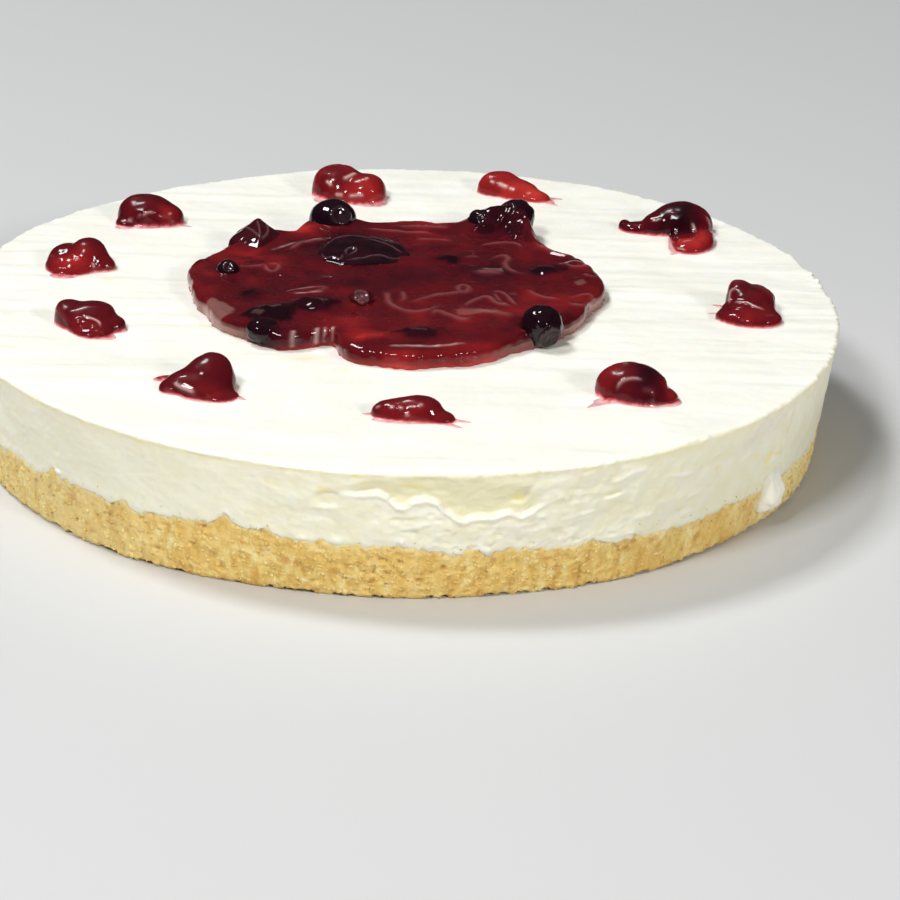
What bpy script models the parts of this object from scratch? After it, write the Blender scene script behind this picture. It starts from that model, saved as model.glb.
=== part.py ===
"""A round cheesecake: a crumb base, a thick cream-cheese filling, a lobed pool of berry
compote with whole berries in the middle, and ten spoonfuls of compote in a ring near the rim.

The frame is metres, +Z up. The origin is on the cake's axis, on the surface it stands on.
"""

import math
from typing import NamedTuple

import bmesh
import bpy
from mathutils import Matrix, Vector

# Driving dimensions of the whole cake
CAKE_HEIGHT = 0.0378
RIM_RADIUS = 0.125
FOOT_RADIUS = 0.119
CRUMB_HEIGHT = 0.0122
FOOT_CHAMFER = 0.0010
SEAM_CHAMFER = 0.0006  # the seam between base and filling starts this far inside the side
LIP_REACH = 0.0006  # how far the smoothed top is pushed out over the side
LIP_DEPTH = 0.0016
GAP = 0.0003  # clearance between pieces that touch

# How finely the round pieces are faceted
CAKE_SEGMENTS = 90
COMPOTE_SEGMENTS = 72
SPOONFUL_SEGMENTS = 20
CRUMB_RIPPLE = 0.0003
# Swells of the line between base and filling: (direction in degrees, rise in metres, width in degrees)
CRUMB_SWELLS = [
    (-114, 0.0044, 38),
    (-134, 0.0012, 6),
    (-110, 0.0016, 4),
    (-121, -0.0013, 4),
    (-88, 0.0008, 5),
    (-65, 0.0008, 3),
]
BERRY_SEGMENTS = 13
BERRY_RINGS = 8

# The pool of compote in the middle. A lobe is (direction in degrees, reach in metres, width in degrees)
COMPOTE_CENTRE = (-0.0015, 0.0040)
COMPOTE_RADIUS = 0.0560
COMPOTE_HEIGHT = 0.0065
COMPOTE_LOBES = [
    (8, 0.0040, 18),
    (57, 0.0085, 10),
    (104, -0.0040, 16),
    (113, 0.0065, 8),
    (127, -0.0040, 5),
    (172, 0.0035, 22),
    (230, -0.0015, 8),
    (248, -0.0125, 8),
    (280, 0.0012, 14),
    (318, -0.0015, 10),
]


class Berry(NamedTuple):
    """A fruit that stands out of the pool. Lengths are in metres and the angles in degrees."""

    east: float
    north: float
    lift: float  # height of its centre over the cream
    size: tuple  # half its length, depth and height
    turn: float = 0  # direction of its length
    lean: float = 20  # how far its crown leans over
    peak: float = 0  # share of its height by which the top is drawn up to a point
    wrinkle: float = 0  # depth of its wrinkles, as a share of its size


BERRIES = {
    "berry_back_left": Berry(-0.0214, 0.0549, 0.0052, (0.0073, 0.0073, 0.0069), 110, 35),
    "berry_back_right_large": Berry(0.0334, 0.0590, 0.0068, (0.0059, 0.0058, 0.0054), 200, 15),
    "berry_back_right_small": Berry(0.0228, 0.0558, 0.0060, (0.0040, 0.0042, 0.0040), 30, 30),
    "cherry_rear_left": Berry(-0.0433, 0.0392, 0.0040, (0.0082, 0.0058, 0.0046), -20, 0, 0.75, 0.10),
    "currant_left": Berry(-0.0494, 0.0080, 0.0053, (0.0036, 0.0035, 0.0033), 90, 35),
    "cherry_middle": Berry(-0.0129, 0.0294, 0.0044, (0.0124, 0.0078, 0.0048), -8, 0, 0, 0.07),
    "berry_middle": Berry(-0.0106, -0.0145, 0.0056, (0.0034, 0.0034, 0.0033), 0, 25),
    "berry_front_left": Berry(-0.0368, -0.0358, 0.0038, (0.0047, 0.0039, 0.0037), 20, 45),
    "berry_front_right": Berry(0.0399, -0.0305, 0.0055, (0.0061, 0.0060, 0.0058), -40, 45),
}
BERRY_FLOOR = 0.0012  # the squashed underside of a berry stays this far above the cream


class Spoonful(NamedTuple):
    """One spoonful of compote in the ring near the rim, made of soft lumps run together.

    A lump is (east, north, half its length, half its depth, direction of its length in degrees,
    height over the cream). It is placed from the middle of the spoonful. Lengths are millimetres.
    """

    place: tuple  # east and north of its middle
    power: float  # 2 gives round lumps, and more gives flatter tops and steeper sides
    lumps: list


SPOONFULS = {
    "spoonful_01": Spoonful(
        (-18.1, 93.3), 2.7, [(-3.2, 4.6, 8.3, 7.4, 0, 9.2), (5.0, 0.6, 6.9, 6.8, -15, 7.6), (0, 1.0, 7.0, 6.0, 0, 5.4)]
    ),
    "spoonful_02": Spoonful(
        (32.3, 99.4),
        2.3,
        [(-3.6, 4.2, 7.0, 4.8, 0, 6.9), (2.0, 1.6, 7.0, 5.2, -12, 4.8), (7.2, -1.6, 5.2, 3.8, -25, 2.6)],
    ),
    "spoonful_03": Spoonful(
        (80.1, 67.2),
        2.4,
        [
            (3.8, 3.4, 9.4, 7.2, 0, 8.9),
            (-3.6, 2.0, 5.6, 4.6, 0, 5.8),
            (-9.6, 2.6, 5.0, 3.2, 4, 2.9),
            (-13.4, 4.4, 2.0, 2.3, 0, 2.8),
            (4.6, -6.0, 4.6, 6.5, 0, 2.2),
            (5.2, -13.9, 5.2, 4.7, -10, 3.1),
            (9.6, -7.5, 3.6, 8.0, 0, 3.8),
        ],
    ),
    "spoonful_04": Spoonful(
        (98.5, -1.7),
        2.9,
        [
            (1.8, 2.0, 6.7, 6.2, -5, 7.8),
            (-2.2, 2.6, 3.8, 4.4, 0, 8.8),
            (0.6, -1.8, 7.8, 6.0, -12, 5.4),
            (0.4, -5.0, 9.6, 6.0, -18, 3.6),
        ],
    ),
    "spoonful_05": Spoonful(
        (63.8, -68.4),
        2.5,
        [(-0.4, 1.0, 9.8, 7.4, -8, 8.6), (3.0, -1.7, 6.0, 5.4, 0, 6.0), (6.4, -0.4, 5.8, 5.0, -30, 2.8)],
    ),
    "spoonful_06": Spoonful(
        (4.6, -87.9),
        2.3,
        [
            (2.6, 0.8, 6.6, 4.6, -6, 5.8),
            (-2.6, 1.2, 6.4, 4.4, 0, 4.7),
            (-6.4, 1.8, 3.6, 3.4, 0, 3.4),
            (7.6, -0.8, 4.6, 3.2, -15, 2.2),
        ],
    ),
    "spoonful_07": Spoonful(
        (-51.4, -70.8),
        2.2,
        [
            (3.6, 1.8, 6.0, 6.4, 0, 9.4),
            (1.2, 0.6, 6.2, 6.0, 10, 8.0),
            (-3.0, -0.4, 6.6, 5.0, 12, 5.0),
            (-6.2, -1.2, 4.6, 3.4, 10, 2.8),
            (1.6, -2.6, 7.0, 5.8, 5, 4.6),
            (5.6, -4.6, 5.2, 4.6, -20, 2.0),
        ],
    ),
    "spoonful_08": Spoonful(
        (-85.6, -26.2),
        2.8,
        [
            (-2.4, 2.6, 7.2, 6.2, -12, 6.0),
            (1.6, 2.2, 6.2, 5.6, -12, 6.6),
            (-6.2, 4.4, 3.8, 4.2, -20, 6.2),
            (6.4, 0.0, 4.2, 3.6, -24, 3.4),
            (0.6, -1.4, 7.0, 5.4, -14, 4.0),
            (1.4, -4.2, 5.6, 4.4, -15, 2.2),
        ],
    ),
    "spoonful_09": Spoonful(
        (-92.6, 21.4),
        2.3,
        [
            (1.6, 3.0, 6.2, 5.8, 0, 8.3),
            (-4.8, 4.4, 5.8, 4.4, 14, 5.8),
            (-6.6, 0.8, 4.2, 4.8, 0, 3.4),
            (5.4, 1.6, 4.4, 3.8, -10, 4.0),
            (-2.0, 0.0, 6.4, 5.4, 0, 4.6),
            (-3.6, -3.0, 5.0, 4.6, 10, 1.8),
        ],
    ),
    "spoonful_10": Spoonful(
        (-77.0, 64.6), 2.6, [(-1.4, 2.4, 8.5, 6.8, 0, 7.9), (4.2, 1.0, 6.4, 5.2, -8, 5.6), (-6.6, -1.2, 3.4, 3.2, 0, 2.2)]
    ),
}
LUMP_BLEND = 4.0  # how closely lumps keep their own shape where they run together
LEAST_LUMP = 0.0008  # thickness of the thin film between two lumps

# Section of a soft piece of compote: (share of the outline, share of the height), from its foot
# over its bulging side to its crown
COMPOTE_WALL = [(0.97, 0.0), (1.0, 0.28), (0.992, 0.72), (0.968, 0.93)]
COMPOTE_TOP = [(0.92, 1.0), (0.75, 1.0), (0.55, 1.0), (0.35, 1.0), (0.17, 1.0)]
# Shares of a spoonful's outline at which its top is worked out, from its edge inwards
SPOONFUL_SHARES = [0.97, 0.90, 0.76, 0.56, 0.30]

COLOURS = {
    "crumb": (0.62, 0.40, 0.14, 0.85),
    "cream": (0.86, 0.83, 0.70, 0.55),
    "compote": (0.20, 0.008, 0.014, 0.12),
    "berry": (0.022, 0.006, 0.014, 0.15),
}


def material(name):
    red, green, blue, roughness = COLOURS[name]
    finish = bpy.data.materials.new(name)
    finish.use_nodes = True
    shader = finish.node_tree.nodes["Principled BSDF"]
    shader.inputs["Base Color"].default_value = (red, green, blue, 1)
    shader.inputs["Roughness"].default_value = roughness
    shader.inputs["Metallic"].default_value = 0
    return finish


def new_object(name, mesh, finish):
    mesh.shade_smooth()
    mesh.set_sharp_from_angle(angle=math.radians(40))
    mesh.materials.append(finish)
    piece = bpy.data.objects.new(name, mesh)
    bpy.context.scene.collection.objects.link(piece)
    return piece


def angles(count):
    return [2 * math.pi * step / count for step in range(count)]


def bump(angle, lobe):
    """One lobe's share at an angle: its reach, fading over its width on either side."""
    direction, reach, width = lobe
    turn = math.remainder(angle - math.radians(direction), 2 * math.pi)
    return reach * math.exp(-((turn / math.radians(width)) ** 2))


def mean_reach(ring):
    """The mean distance of a ring's points from the ring's own middle."""
    east = sum(x for x, _, _ in ring) / len(ring)
    north = sum(y for _, y, _ in ring) / len(ring)
    return sum(math.hypot(x - east, y - north) for x, y, _ in ring) / len(ring)


def stacked_solid(name, foot, rings, crown, finish):
    """A closed solid from a foot point, rings of points from the bottom up, and a crown point.

    Quads split along the diagonal that starts on the wider ring, so that the two faces of a
    seam between neighbours stay parallel.
    """
    shape = bmesh.new()
    low = shape.verts.new(foot)
    high = shape.verts.new(crown)
    loops = [[shape.verts.new(point) for point in ring] for ring in rings]
    count = len(rings[0])
    for step in range(count):
        after = (step + 1) % count
        shape.faces.new((low, loops[0][after], loops[0][step]))
        shape.faces.new((loops[-1][step], loops[-1][after], high))
    for below, above, ring, next_ring in zip(loops, loops[1:], rings, rings[1:]):
        widens = mean_reach(next_ring) > mean_reach(ring)
        for step in range(count):
            after = (step + 1) % count
            if widens:
                shape.faces.new((below[step], below[after], above[step]))
                shape.faces.new((below[after], above[after], above[step]))
            else:
                shape.faces.new((below[step], below[after], above[after]))
                shape.faces.new((below[step], above[after], above[step]))
    mesh = bpy.data.meshes.new(name)
    shape.to_mesh(mesh)
    shape.free()
    return new_object(name, mesh, finish)


# The cake's round body


def rim_radius(angle):
    """The top edge isn't a true circle: it is fuller on one side and has three soft corners."""
    return RIM_RADIUS + 0.0009 * math.cos(angle - 0.2) + 0.0014 * math.cos(3 * (angle - 0.9))


def foot_radius(angle):
    return FOOT_RADIUS + 0.0004 * math.sin(5 * angle + 1.0) + 0.0003 * math.sin(11 * angle)


def wall_radius(angle, height):
    """The side leans out from the foot to the rim."""
    share = height / CAKE_HEIGHT
    return foot_radius(angle) + (rim_radius(angle) - foot_radius(angle)) * share


def crumb_line(angle):
    """Height of the uneven line where the crumb base meets the filling on the side."""
    swell = sum(bump(angle, lobe) for lobe in CRUMB_SWELLS)
    ripple = CRUMB_RIPPLE * (math.sin(9 * angle + 0.6) + math.sin(23 * angle))
    return CRUMB_HEIGHT + swell + ripple


def ring_of(radius_at, height_at, segments=CAKE_SEGMENTS):
    return [
        (radius_at(a) * math.cos(a), radius_at(a) * math.sin(a), height_at(a))
        for a in angles(segments)
    ]


def seam_rings(lift):
    """The hidden face between base and filling, from the side towards the middle."""
    edge = ring_of(
        lambda a: wall_radius(a, crumb_line(a)) - SEAM_CHAMFER,
        lambda a: crumb_line(a) + lift,
    )
    shoulder = ring_of(
        lambda a: 0.93 * FOOT_RADIUS,
        lambda a: (crumb_line(a) + CRUMB_HEIGHT) / 2 + lift,
    )
    middle = ring_of(lambda a: 0.6 * FOOT_RADIUS, lambda a: CRUMB_HEIGHT + lift)
    return [edge, shoulder, middle]


def crumb_base(finish):
    edge, shoulder, middle = seam_rings(0)
    side = [
        ring_of(lambda a: foot_radius(a) - FOOT_CHAMFER, lambda a: 0),
        ring_of(foot_radius, lambda a: FOOT_CHAMFER),
        ring_of(lambda a: wall_radius(a, crumb_line(a) / 2) + 0.0003, lambda a: crumb_line(a) / 2),
        ring_of(
            lambda a: wall_radius(a, crumb_line(a)),
            lambda a: crumb_line(a) - 2 * SEAM_CHAMFER,
        ),
    ]
    crown = (0, 0, CRUMB_HEIGHT)
    return stacked_solid("crumb_base", (0, 0, 0), [*side, edge, shoulder, middle], crown, finish)


def filling(finish):
    edge, shoulder, middle = seam_rings(GAP)
    rise = CAKE_HEIGHT - CRUMB_HEIGHT

    def rim_height(angle):
        return CAKE_HEIGHT + 0.0004 * math.sin(4 * angle + 0.5)

    middle_height = CRUMB_HEIGHT + 0.45 * rise
    neck_height = CRUMB_HEIGHT + 0.75 * rise
    side = [
        ring_of(
            lambda a: wall_radius(a, crumb_line(a)) + SEAM_CHAMFER / 3,
            lambda a: crumb_line(a) + GAP + 2 * SEAM_CHAMFER,
        ),
        ring_of(
            lambda a: wall_radius(a, middle_height) - 0.0004 * math.sin(6 * a),
            lambda a: middle_height,
        ),
        ring_of(lambda a: wall_radius(a, neck_height), lambda a: neck_height),
        # the lip that the palette knife pushed over the side
        ring_of(lambda a: rim_radius(a) + LIP_REACH, lambda a: rim_height(a) - LIP_DEPTH),
        ring_of(lambda a: rim_radius(a) - LIP_REACH, lambda a: rim_height(a) - LIP_REACH / 2),
        ring_of(lambda a: rim_radius(a) - 4 * LIP_REACH, rim_height),
        ring_of(lambda a: rim_radius(a) - 15 * LIP_REACH, lambda a: CAKE_HEIGHT),
    ]
    foot = (0, 0, CRUMB_HEIGHT + GAP)
    crown = (0, 0, CAKE_HEIGHT)
    rings = [middle, shoulder, edge, *side]
    return stacked_solid("cheese_filling", foot, rings, crown, finish)


# Compote: soft pieces with a bulging side, laid on the cream


def compote_reach(angle):
    ripple = 0.0005 * math.sin(9 * angle) + 0.0004 * math.sin(17 * angle + 1.3)
    return COMPOTE_RADIUS + ripple + sum(bump(angle, lobe) for lobe in COMPOTE_LOBES)


def compote_swirl(x, y):
    """Low waves that the spoon left in the top of the pool."""
    reach = math.hypot(x, y)
    return 0.0004 * math.sin(3 * math.atan2(y, x) + 170 * reach) + 0.0003 * math.sin(260 * x - 90 * y)


def berry_mound(x, y):
    """The compote climbs a little round each berry."""
    climb = 0
    for fruit in BERRIES.values():
        away = math.hypot(x - fruit.east, y - fruit.north) / (1.3 * fruit.size[1])
        climb += 0.22 * fruit.size[2] * math.exp(-away * away)
    return climb


def compote_pool(finish):
    east, north = COMPOTE_CENTRE
    bed = CAKE_HEIGHT + GAP
    rings = []
    for share, rise in COMPOTE_WALL + COMPOTE_TOP:
        ring = []
        for angle in angles(COMPOTE_SEGMENTS):
            x = east + share * compote_reach(angle) * math.cos(angle)
            y = north + share * compote_reach(angle) * math.sin(angle)
            height = COMPOTE_HEIGHT + compote_swirl(x, y) + berry_mound(x, y)
            ring.append((x, y, bed + rise * height))
        rings.append(ring)
    crown = (east, north, bed + COMPOTE_HEIGHT)
    pool = stacked_solid("compote_pool", (east, north, bed), rings, crown, finish)
    for name, fruit in BERRIES.items():
        cutter = berry("socket_" + name, fruit, finish, GAP)
        cutter.hide_render = True
        cutter.display_type = "WIRE"
        socket = pool.modifiers.new(cutter.name, "BOOLEAN")
        socket.operation = "DIFFERENCE"
        socket.solver = "EXACT"
        socket.object = cutter
    return pool


def lump_share(x, y, rise, plan):
    """Over 1 inside the lumps of a spoonful and under 1 outside them."""
    total = 0
    for east, north, length, depth, turn, height in plan.lumps:
        c, s = math.cos(math.radians(turn)), math.sin(math.radians(turn))
        along = ((x - east) * c + (y - north) * s) / length
        across = ((y - north) * c - (x - east) * s) / depth
        away = math.hypot(along, across) ** plan.power + (rise / height) ** plan.power
        total += math.exp(-LUMP_BLEND * (away - 1))
    return total


def halved(inside, near, far):
    """Where the lumps end, between a place inside them and one outside."""
    for _ in range(20):
        middle = (near + far) / 2
        near, far = (middle, far) if inside(middle) else (near, middle)
    return near


def lump_outline(angle, plan):
    c, s = math.cos(angle), math.sin(angle)

    def inside(reach):
        return lump_share(reach * c, reach * s, 0, plan) > 1

    steps = [step * 0.25 for step in range(96)]
    last = max(reach for reach in steps if inside(reach))
    return halved(inside, last, last + 0.25)


def lump_top(x, y, plan):
    if lump_share(x, y, 0, plan) <= 1:
        return 0
    return halved(lambda rise: lump_share(x, y, rise, plan) > 1, 0, 14)


def spoonful(name, plan, finish):
    east, north = (part / 1000 for part in plan.place)
    bed = CAKE_HEIGHT + GAP
    outline = [(a, lump_outline(a, plan)) for a in angles(SPOONFUL_SEGMENTS)]

    def placed(reach, angle, lowest):
        x, y = reach * math.cos(angle), reach * math.sin(angle)
        rise = max(lump_top(x, y, plan) / 1000, lowest)
        return (east + x / 1000, north + y / 1000, bed + rise)

    foot = [(x, y, bed) for x, y, _ in (placed(reach, a, 0) for a, reach in outline)]
    rings = [
        [placed(share * reach, a, LEAST_LUMP) for a, reach in outline] for share in SPOONFUL_SHARES
    ]
    return stacked_solid(name, (east, north, bed), [foot, *rings], placed(0, 0, LEAST_LUMP), finish)


def berry_surface(direction, fruit):
    """Where a straight line from the berry's centre meets its skin, with the centre at zero."""
    dimple = 0.86 if direction.z > 0.99 else 1.03 if direction.z > 0.85 else 1.0
    around = math.atan2(direction.y, direction.x)
    fold = 1 + fruit.wrinkle * math.sin(3 * around + 2.5 * direction.z) * (1 - direction.z**2)
    lean = Matrix.Rotation(math.radians(fruit.lean), 3, "Y")
    skin = lean @ (direction * dimple * fold)
    point = Vector(half * part for half, part in zip(fruit.size, skin))
    if point.z > 0:
        flat = direction.xy.length
        point.z *= 1 + fruit.peak * math.exp(-((flat / 0.35) ** 2))
    return Matrix.Rotation(math.radians(fruit.turn), 3, "Z") @ point


def berry(name, fruit, finish, growth=0):
    """A round berry with a dimpled crown. Its underside is squashed flat in the compote."""
    shape = bmesh.new()
    bmesh.ops.create_uvsphere(shape, u_segments=BERRY_SEGMENTS, v_segments=BERRY_RINGS, radius=1)
    # split now, so that a berry and its socket have the same triangles
    bmesh.ops.triangulate(shape, faces=shape.faces, quad_method="FIXED")
    centre = Vector((fruit.east, fruit.north, CAKE_HEIGHT + fruit.lift))
    floor = CAKE_HEIGHT + BERRY_FLOOR - growth
    for corner in shape.verts:
        point = berry_surface(corner.co.normalized(), fruit)
        corner.co = centre + point + point.normalized() * growth
        corner.co.z = max(corner.co.z, floor)
    mesh = bpy.data.meshes.new(name)
    shape.to_mesh(mesh)
    shape.free()
    return new_object(name, mesh, finish)


def build_cake():
    for leftover in list(bpy.data.objects):
        bpy.data.objects.remove(leftover, do_unlink=True)
    crumb, cream = material("crumb"), material("cream")
    compote, skin = material("compote"), material("berry")
    crumb_base(crumb)
    filling(cream)
    compote_pool(compote)
    for name, plan in SPOONFULS.items():
        spoonful(name, plan, compote)
    for name, plan in BERRIES.items():
        berry(name, plan, skin)


build_cake()
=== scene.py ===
import math

import bmesh
import bpy
import numpy as np
from mathutils import Matrix, Vector


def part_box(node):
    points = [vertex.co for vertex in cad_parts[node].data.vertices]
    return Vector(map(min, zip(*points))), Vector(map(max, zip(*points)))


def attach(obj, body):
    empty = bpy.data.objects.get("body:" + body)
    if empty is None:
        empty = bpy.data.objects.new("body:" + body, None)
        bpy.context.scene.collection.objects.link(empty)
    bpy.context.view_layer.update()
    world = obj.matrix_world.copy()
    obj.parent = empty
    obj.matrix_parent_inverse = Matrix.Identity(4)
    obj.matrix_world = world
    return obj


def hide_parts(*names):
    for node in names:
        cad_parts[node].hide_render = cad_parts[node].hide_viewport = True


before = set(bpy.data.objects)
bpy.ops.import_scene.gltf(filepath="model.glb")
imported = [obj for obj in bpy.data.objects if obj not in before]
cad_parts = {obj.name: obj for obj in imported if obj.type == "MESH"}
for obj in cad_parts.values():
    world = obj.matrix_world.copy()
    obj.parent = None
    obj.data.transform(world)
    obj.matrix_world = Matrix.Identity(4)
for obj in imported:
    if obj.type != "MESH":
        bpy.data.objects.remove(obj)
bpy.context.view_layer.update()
print("frame loaded:", len(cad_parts), "nodes")

touchGap = 0.0003  # clearance that the solids keep where they touch
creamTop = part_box("compote_pool")[0].z - touchGap
rimReach = (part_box("cheese_filling")[1].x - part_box("cheese_filling")[0].x) / 2
footReach = (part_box("crumb_base")[1].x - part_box("crumb_base")[0].x) / 2
mm = 0.001

# ---- noise, in plain numpy so that whole rings are worked out at once


def hashed(i, j, k, seed):
    h = (i * 374761393 + j * 668265263 + k * 2246822519 + seed * 3266489917) & 0xFFFFFFFF
    h = ((h ^ (h >> 13)) * 1274126177) & 0xFFFFFFFF
    return ((h ^ (h >> 16)) & 0xFFFF) / 32767.5 - 1


def softNoise(x, y, z, seed=1):
    # value noise, smooth, from -1 to 1, one cell a unit wide
    x, y, z = np.broadcast_arrays(np.asarray(x, float), y, z)
    i, j, k = (np.floor(part).astype(np.int64) for part in (x, y, z))
    u, v, w = (part - cell for part, cell in ((x, i), (y, j), (z, k)))
    u, v, w = (t * t * t * (t * (6 * t - 15) + 10) for t in (u, v, w))
    total = 0
    for di in (0, 1):
        for dj in (0, 1):
            for dk in (0, 1):
                share = (u if di else 1 - u) * (v if dj else 1 - v) * (w if dk else 1 - w)
                total = total + share * hashed(i + di, j + dj, k + dk, seed)
    return total


def layeredNoise(x, y, z, seed=1, layers=3):
    total, size = 0, 1.0
    for layer in range(layers):
        total = total + softNoise(x * 2**layer, y * 2**layer, z * 2**layer, seed + layer) * size
        size *= 0.5
    return total


def smoothStep(low, high, value):
    t = np.clip((value - low) / (high - low), 0, 1)
    return t * t * (3 - 2 * t)


def hill(distance, reach):
    return np.exp(-((distance / reach) ** 2))


def angleBetween(angle, direction):
    # signed turn from a direction in degrees to an angle in radians
    return (angle - math.radians(direction) + math.pi) % (2 * math.pi) - math.pi


def lobeSum(angle, lobes):
    return sum(reach * hill(angleBetween(angle, direction), math.radians(width))
               for direction, reach, width in lobes)


# ---- meshes made of rings of points


def ringFaces(lowStart, lowCount, highStart, highCount):
    faces = []
    if lowCount == highCount:
        for i in range(lowCount):
            j = (i + 1) % lowCount
            faces.append((lowStart + i, lowStart + j, highStart + j, highStart + i))
    elif lowCount == 2 * highCount:
        for i in range(highCount):
            j = (i + 1) % highCount
            a, b, c = (lowStart + (2 * i + n) % lowCount for n in range(3))
            faces += [(a, b, highStart + i), (b, highStart + j, highStart + i), (b, c, highStart + j)]
    else:
        for i in range(lowCount):
            j = (i + 1) % lowCount
            a, b, c = (highStart + (2 * i + n) % highCount for n in range(3))
            faces += [(lowStart + i, b, a), (lowStart + i, lowStart + j, b), (lowStart + j, c, b)]
    return faces


def ringMesh(name, rings, attributes=None):
    # rings run from the underside up the outside to the top; both ends are closed by a point
    counts = [len(ring) for ring in rings]
    starts = np.concatenate([[0], np.cumsum(counts)]).astype(int)
    points = np.concatenate(rings + [rings[0].mean(axis=0)[None], rings[-1].mean(axis=0)[None]])
    low, high = len(points) - 2, len(points) - 1
    faces = []
    for n in range(len(rings) - 1):
        faces += ringFaces(int(starts[n]), counts[n], int(starts[n + 1]), counts[n + 1])
    for i in range(counts[0]):
        faces.append((low, (i + 1) % counts[0], i))
    last = int(starts[-2])
    for i in range(counts[-1]):
        faces.append((last + i, last + (i + 1) % counts[-1], high))
    mesh = bpy.data.meshes.new(name)
    mesh.from_pydata(points.tolist(), [], faces)
    for key, values in (attributes or {}).items():
        full = np.concatenate(values + [values[0].mean(keepdims=True), values[-1].mean(keepdims=True)])
        layer = mesh.attributes.new(key, "FLOAT", "POINT")
        layer.data.foreach_set("value", full.astype(np.float32))
    mesh.shade_smooth()
    mesh.update()
    piece = bpy.data.objects.new(name, mesh)
    bpy.context.scene.collection.objects.link(piece)
    return piece


def turns(count):
    return np.arange(count) * (2 * math.pi / count)


def stacked(x, y, z):
    return np.stack(np.broadcast_arrays(x, y, z), axis=-1).astype(float)


def finishPiece(piece, material, nodes):
    piece.data.materials.clear()
    piece.data.materials.append(material)
    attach(piece, "root")
    if nodes:
        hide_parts(*nodes)
    return piece


# ---- material helpers


def newMaterial(name, settings):
    material = bpy.data.materials.new(name)
    material.use_nodes = True
    tree = material.node_tree
    shader = tree.nodes["Principled BSDF"]
    for socket, value in settings.items():
        shader.inputs[socket].default_value = value
    return material, tree, shader


def link(tree, source, target):
    tree.links.new(source, target)


def addNode(tree, kind, values=None, **settings):
    node = tree.nodes.new(kind)
    for key, value in settings.items():
        setattr(node, key, value)
    for key, value in (values or {}).items():
        node.inputs[key].default_value = value
    return node


def mathNode(tree, operation, first, second=None, clamp=False):
    node = addNode(tree, "ShaderNodeMath", operation=operation, use_clamp=clamp)
    for index, value in enumerate((first, second)):
        if value is None:
            continue
        if isinstance(value, (int, float)):
            node.inputs[index].default_value = value
        else:
            link(tree, value, node.inputs[index])
    return node.outputs[0]


def mixColour(tree, factor, first, second, blend="MIX"):
    node = addNode(tree, "ShaderNodeMix", data_type="RGBA", blend_type=blend)
    for index, value in ((0, factor), (6, first), (7, second)):
        if isinstance(value, (int, float)):
            node.inputs[index].default_value = value
        elif isinstance(value, tuple):
            node.inputs[index].default_value = (*value, 1)
        else:
            link(tree, value, node.inputs[index])
    return node.outputs[2]


def noiseNode(tree, scale, detail=3, roughness=0.5, distortion=0.0, stretch=(1, 1, 1)):
    place = addNode(tree, "ShaderNodeTexCoord")
    mapping = addNode(tree, "ShaderNodeMapping", {"Scale": stretch})
    link(tree, place.outputs["Object"], mapping.inputs["Vector"])
    node = addNode(tree, "ShaderNodeTexNoise",
                   {"Scale": scale, "Detail": detail, "Roughness": roughness, "Distortion": distortion})
    link(tree, mapping.outputs[0], node.inputs["Vector"])
    return node.outputs["Fac"]


def rampNode(tree, factor, stops):
    node = addNode(tree, "ShaderNodeValToRGB")
    ramp = node.color_ramp
    while len(ramp.elements) < len(stops):
        ramp.elements.new(0.5)
    for element, (place, colour) in zip(ramp.elements, stops):
        element.position = place
        element.color = (*colour, 1)
    link(tree, factor, node.inputs[0])
    return node.outputs[0]


def attributeNode(tree, name):
    return addNode(tree, "ShaderNodeAttribute", attribute_name=name).outputs["Fac"]


def bumpNode(tree, shader, height, strength, distance):
    node = addNode(tree, "ShaderNodeBump", {"Strength": strength, "Distance": distance})
    link(tree, height, node.inputs["Height"])
    link(tree, node.outputs[0], shader.inputs["Normal"])
    return node


# ---- camera, floor and light

view = {"lens": 140, "distance": 1.00984, "elevation": 22.29, "right": 0.01548, "up": -0.00643, "roll": 1.54}


def makeCamera():
    elevation = math.radians(view["elevation"])
    back = Vector((0, -math.cos(elevation), math.sin(elevation)))
    right = Vector((1, 0, 0))
    up = back.cross(right)
    camera = bpy.data.objects.new("camera", bpy.data.cameras.new("camera"))
    camera.data.lens = view["lens"]
    camera.data.sensor_width = 36
    place = back * view["distance"] + right * view["right"] + up * view["up"]
    facing = Matrix((right, up, back)).transposed().to_4x4()
    camera.matrix_world = Matrix.Translation(place) @ facing @ Matrix.Rotation(math.radians(view["roll"]), 4, "Z")
    bpy.context.scene.collection.objects.link(camera)
    bpy.context.scene.camera = camera


studio = {
    "worldStrength": 1.0,
    # dim near the horizon, a little light overhead
    "sky": [(0.0, (0.032, 0.032, 0.034)), (0.50, (0.032, 0.032, 0.034)), (0.90, (0.085, 0.087, 0.09))],
    "floorColour": (0.60, 0.60, 0.60), "floorSize": 6.0,
}
# name: place, what it faces, width, height, watts, colour
lamps = {
    "skylight": ((-0.92, 0.50, 2.00), (0, 0, 0.03), 0.46, 0.52, 30.5, (0.97, 0.99, 1.0)),
    "window": ((-0.79, -1.21, 1.62), (0, 0, 0.03), 0.51, 0.33, 28.5, (1.0, 1.0, 0.985)),
    "sideWindow": ((1.35, -1.50, 0.92), (0, 0, 0.02), 0.31, 0.25, 20.0, (1.0, 0.995, 0.975)),
}


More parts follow.
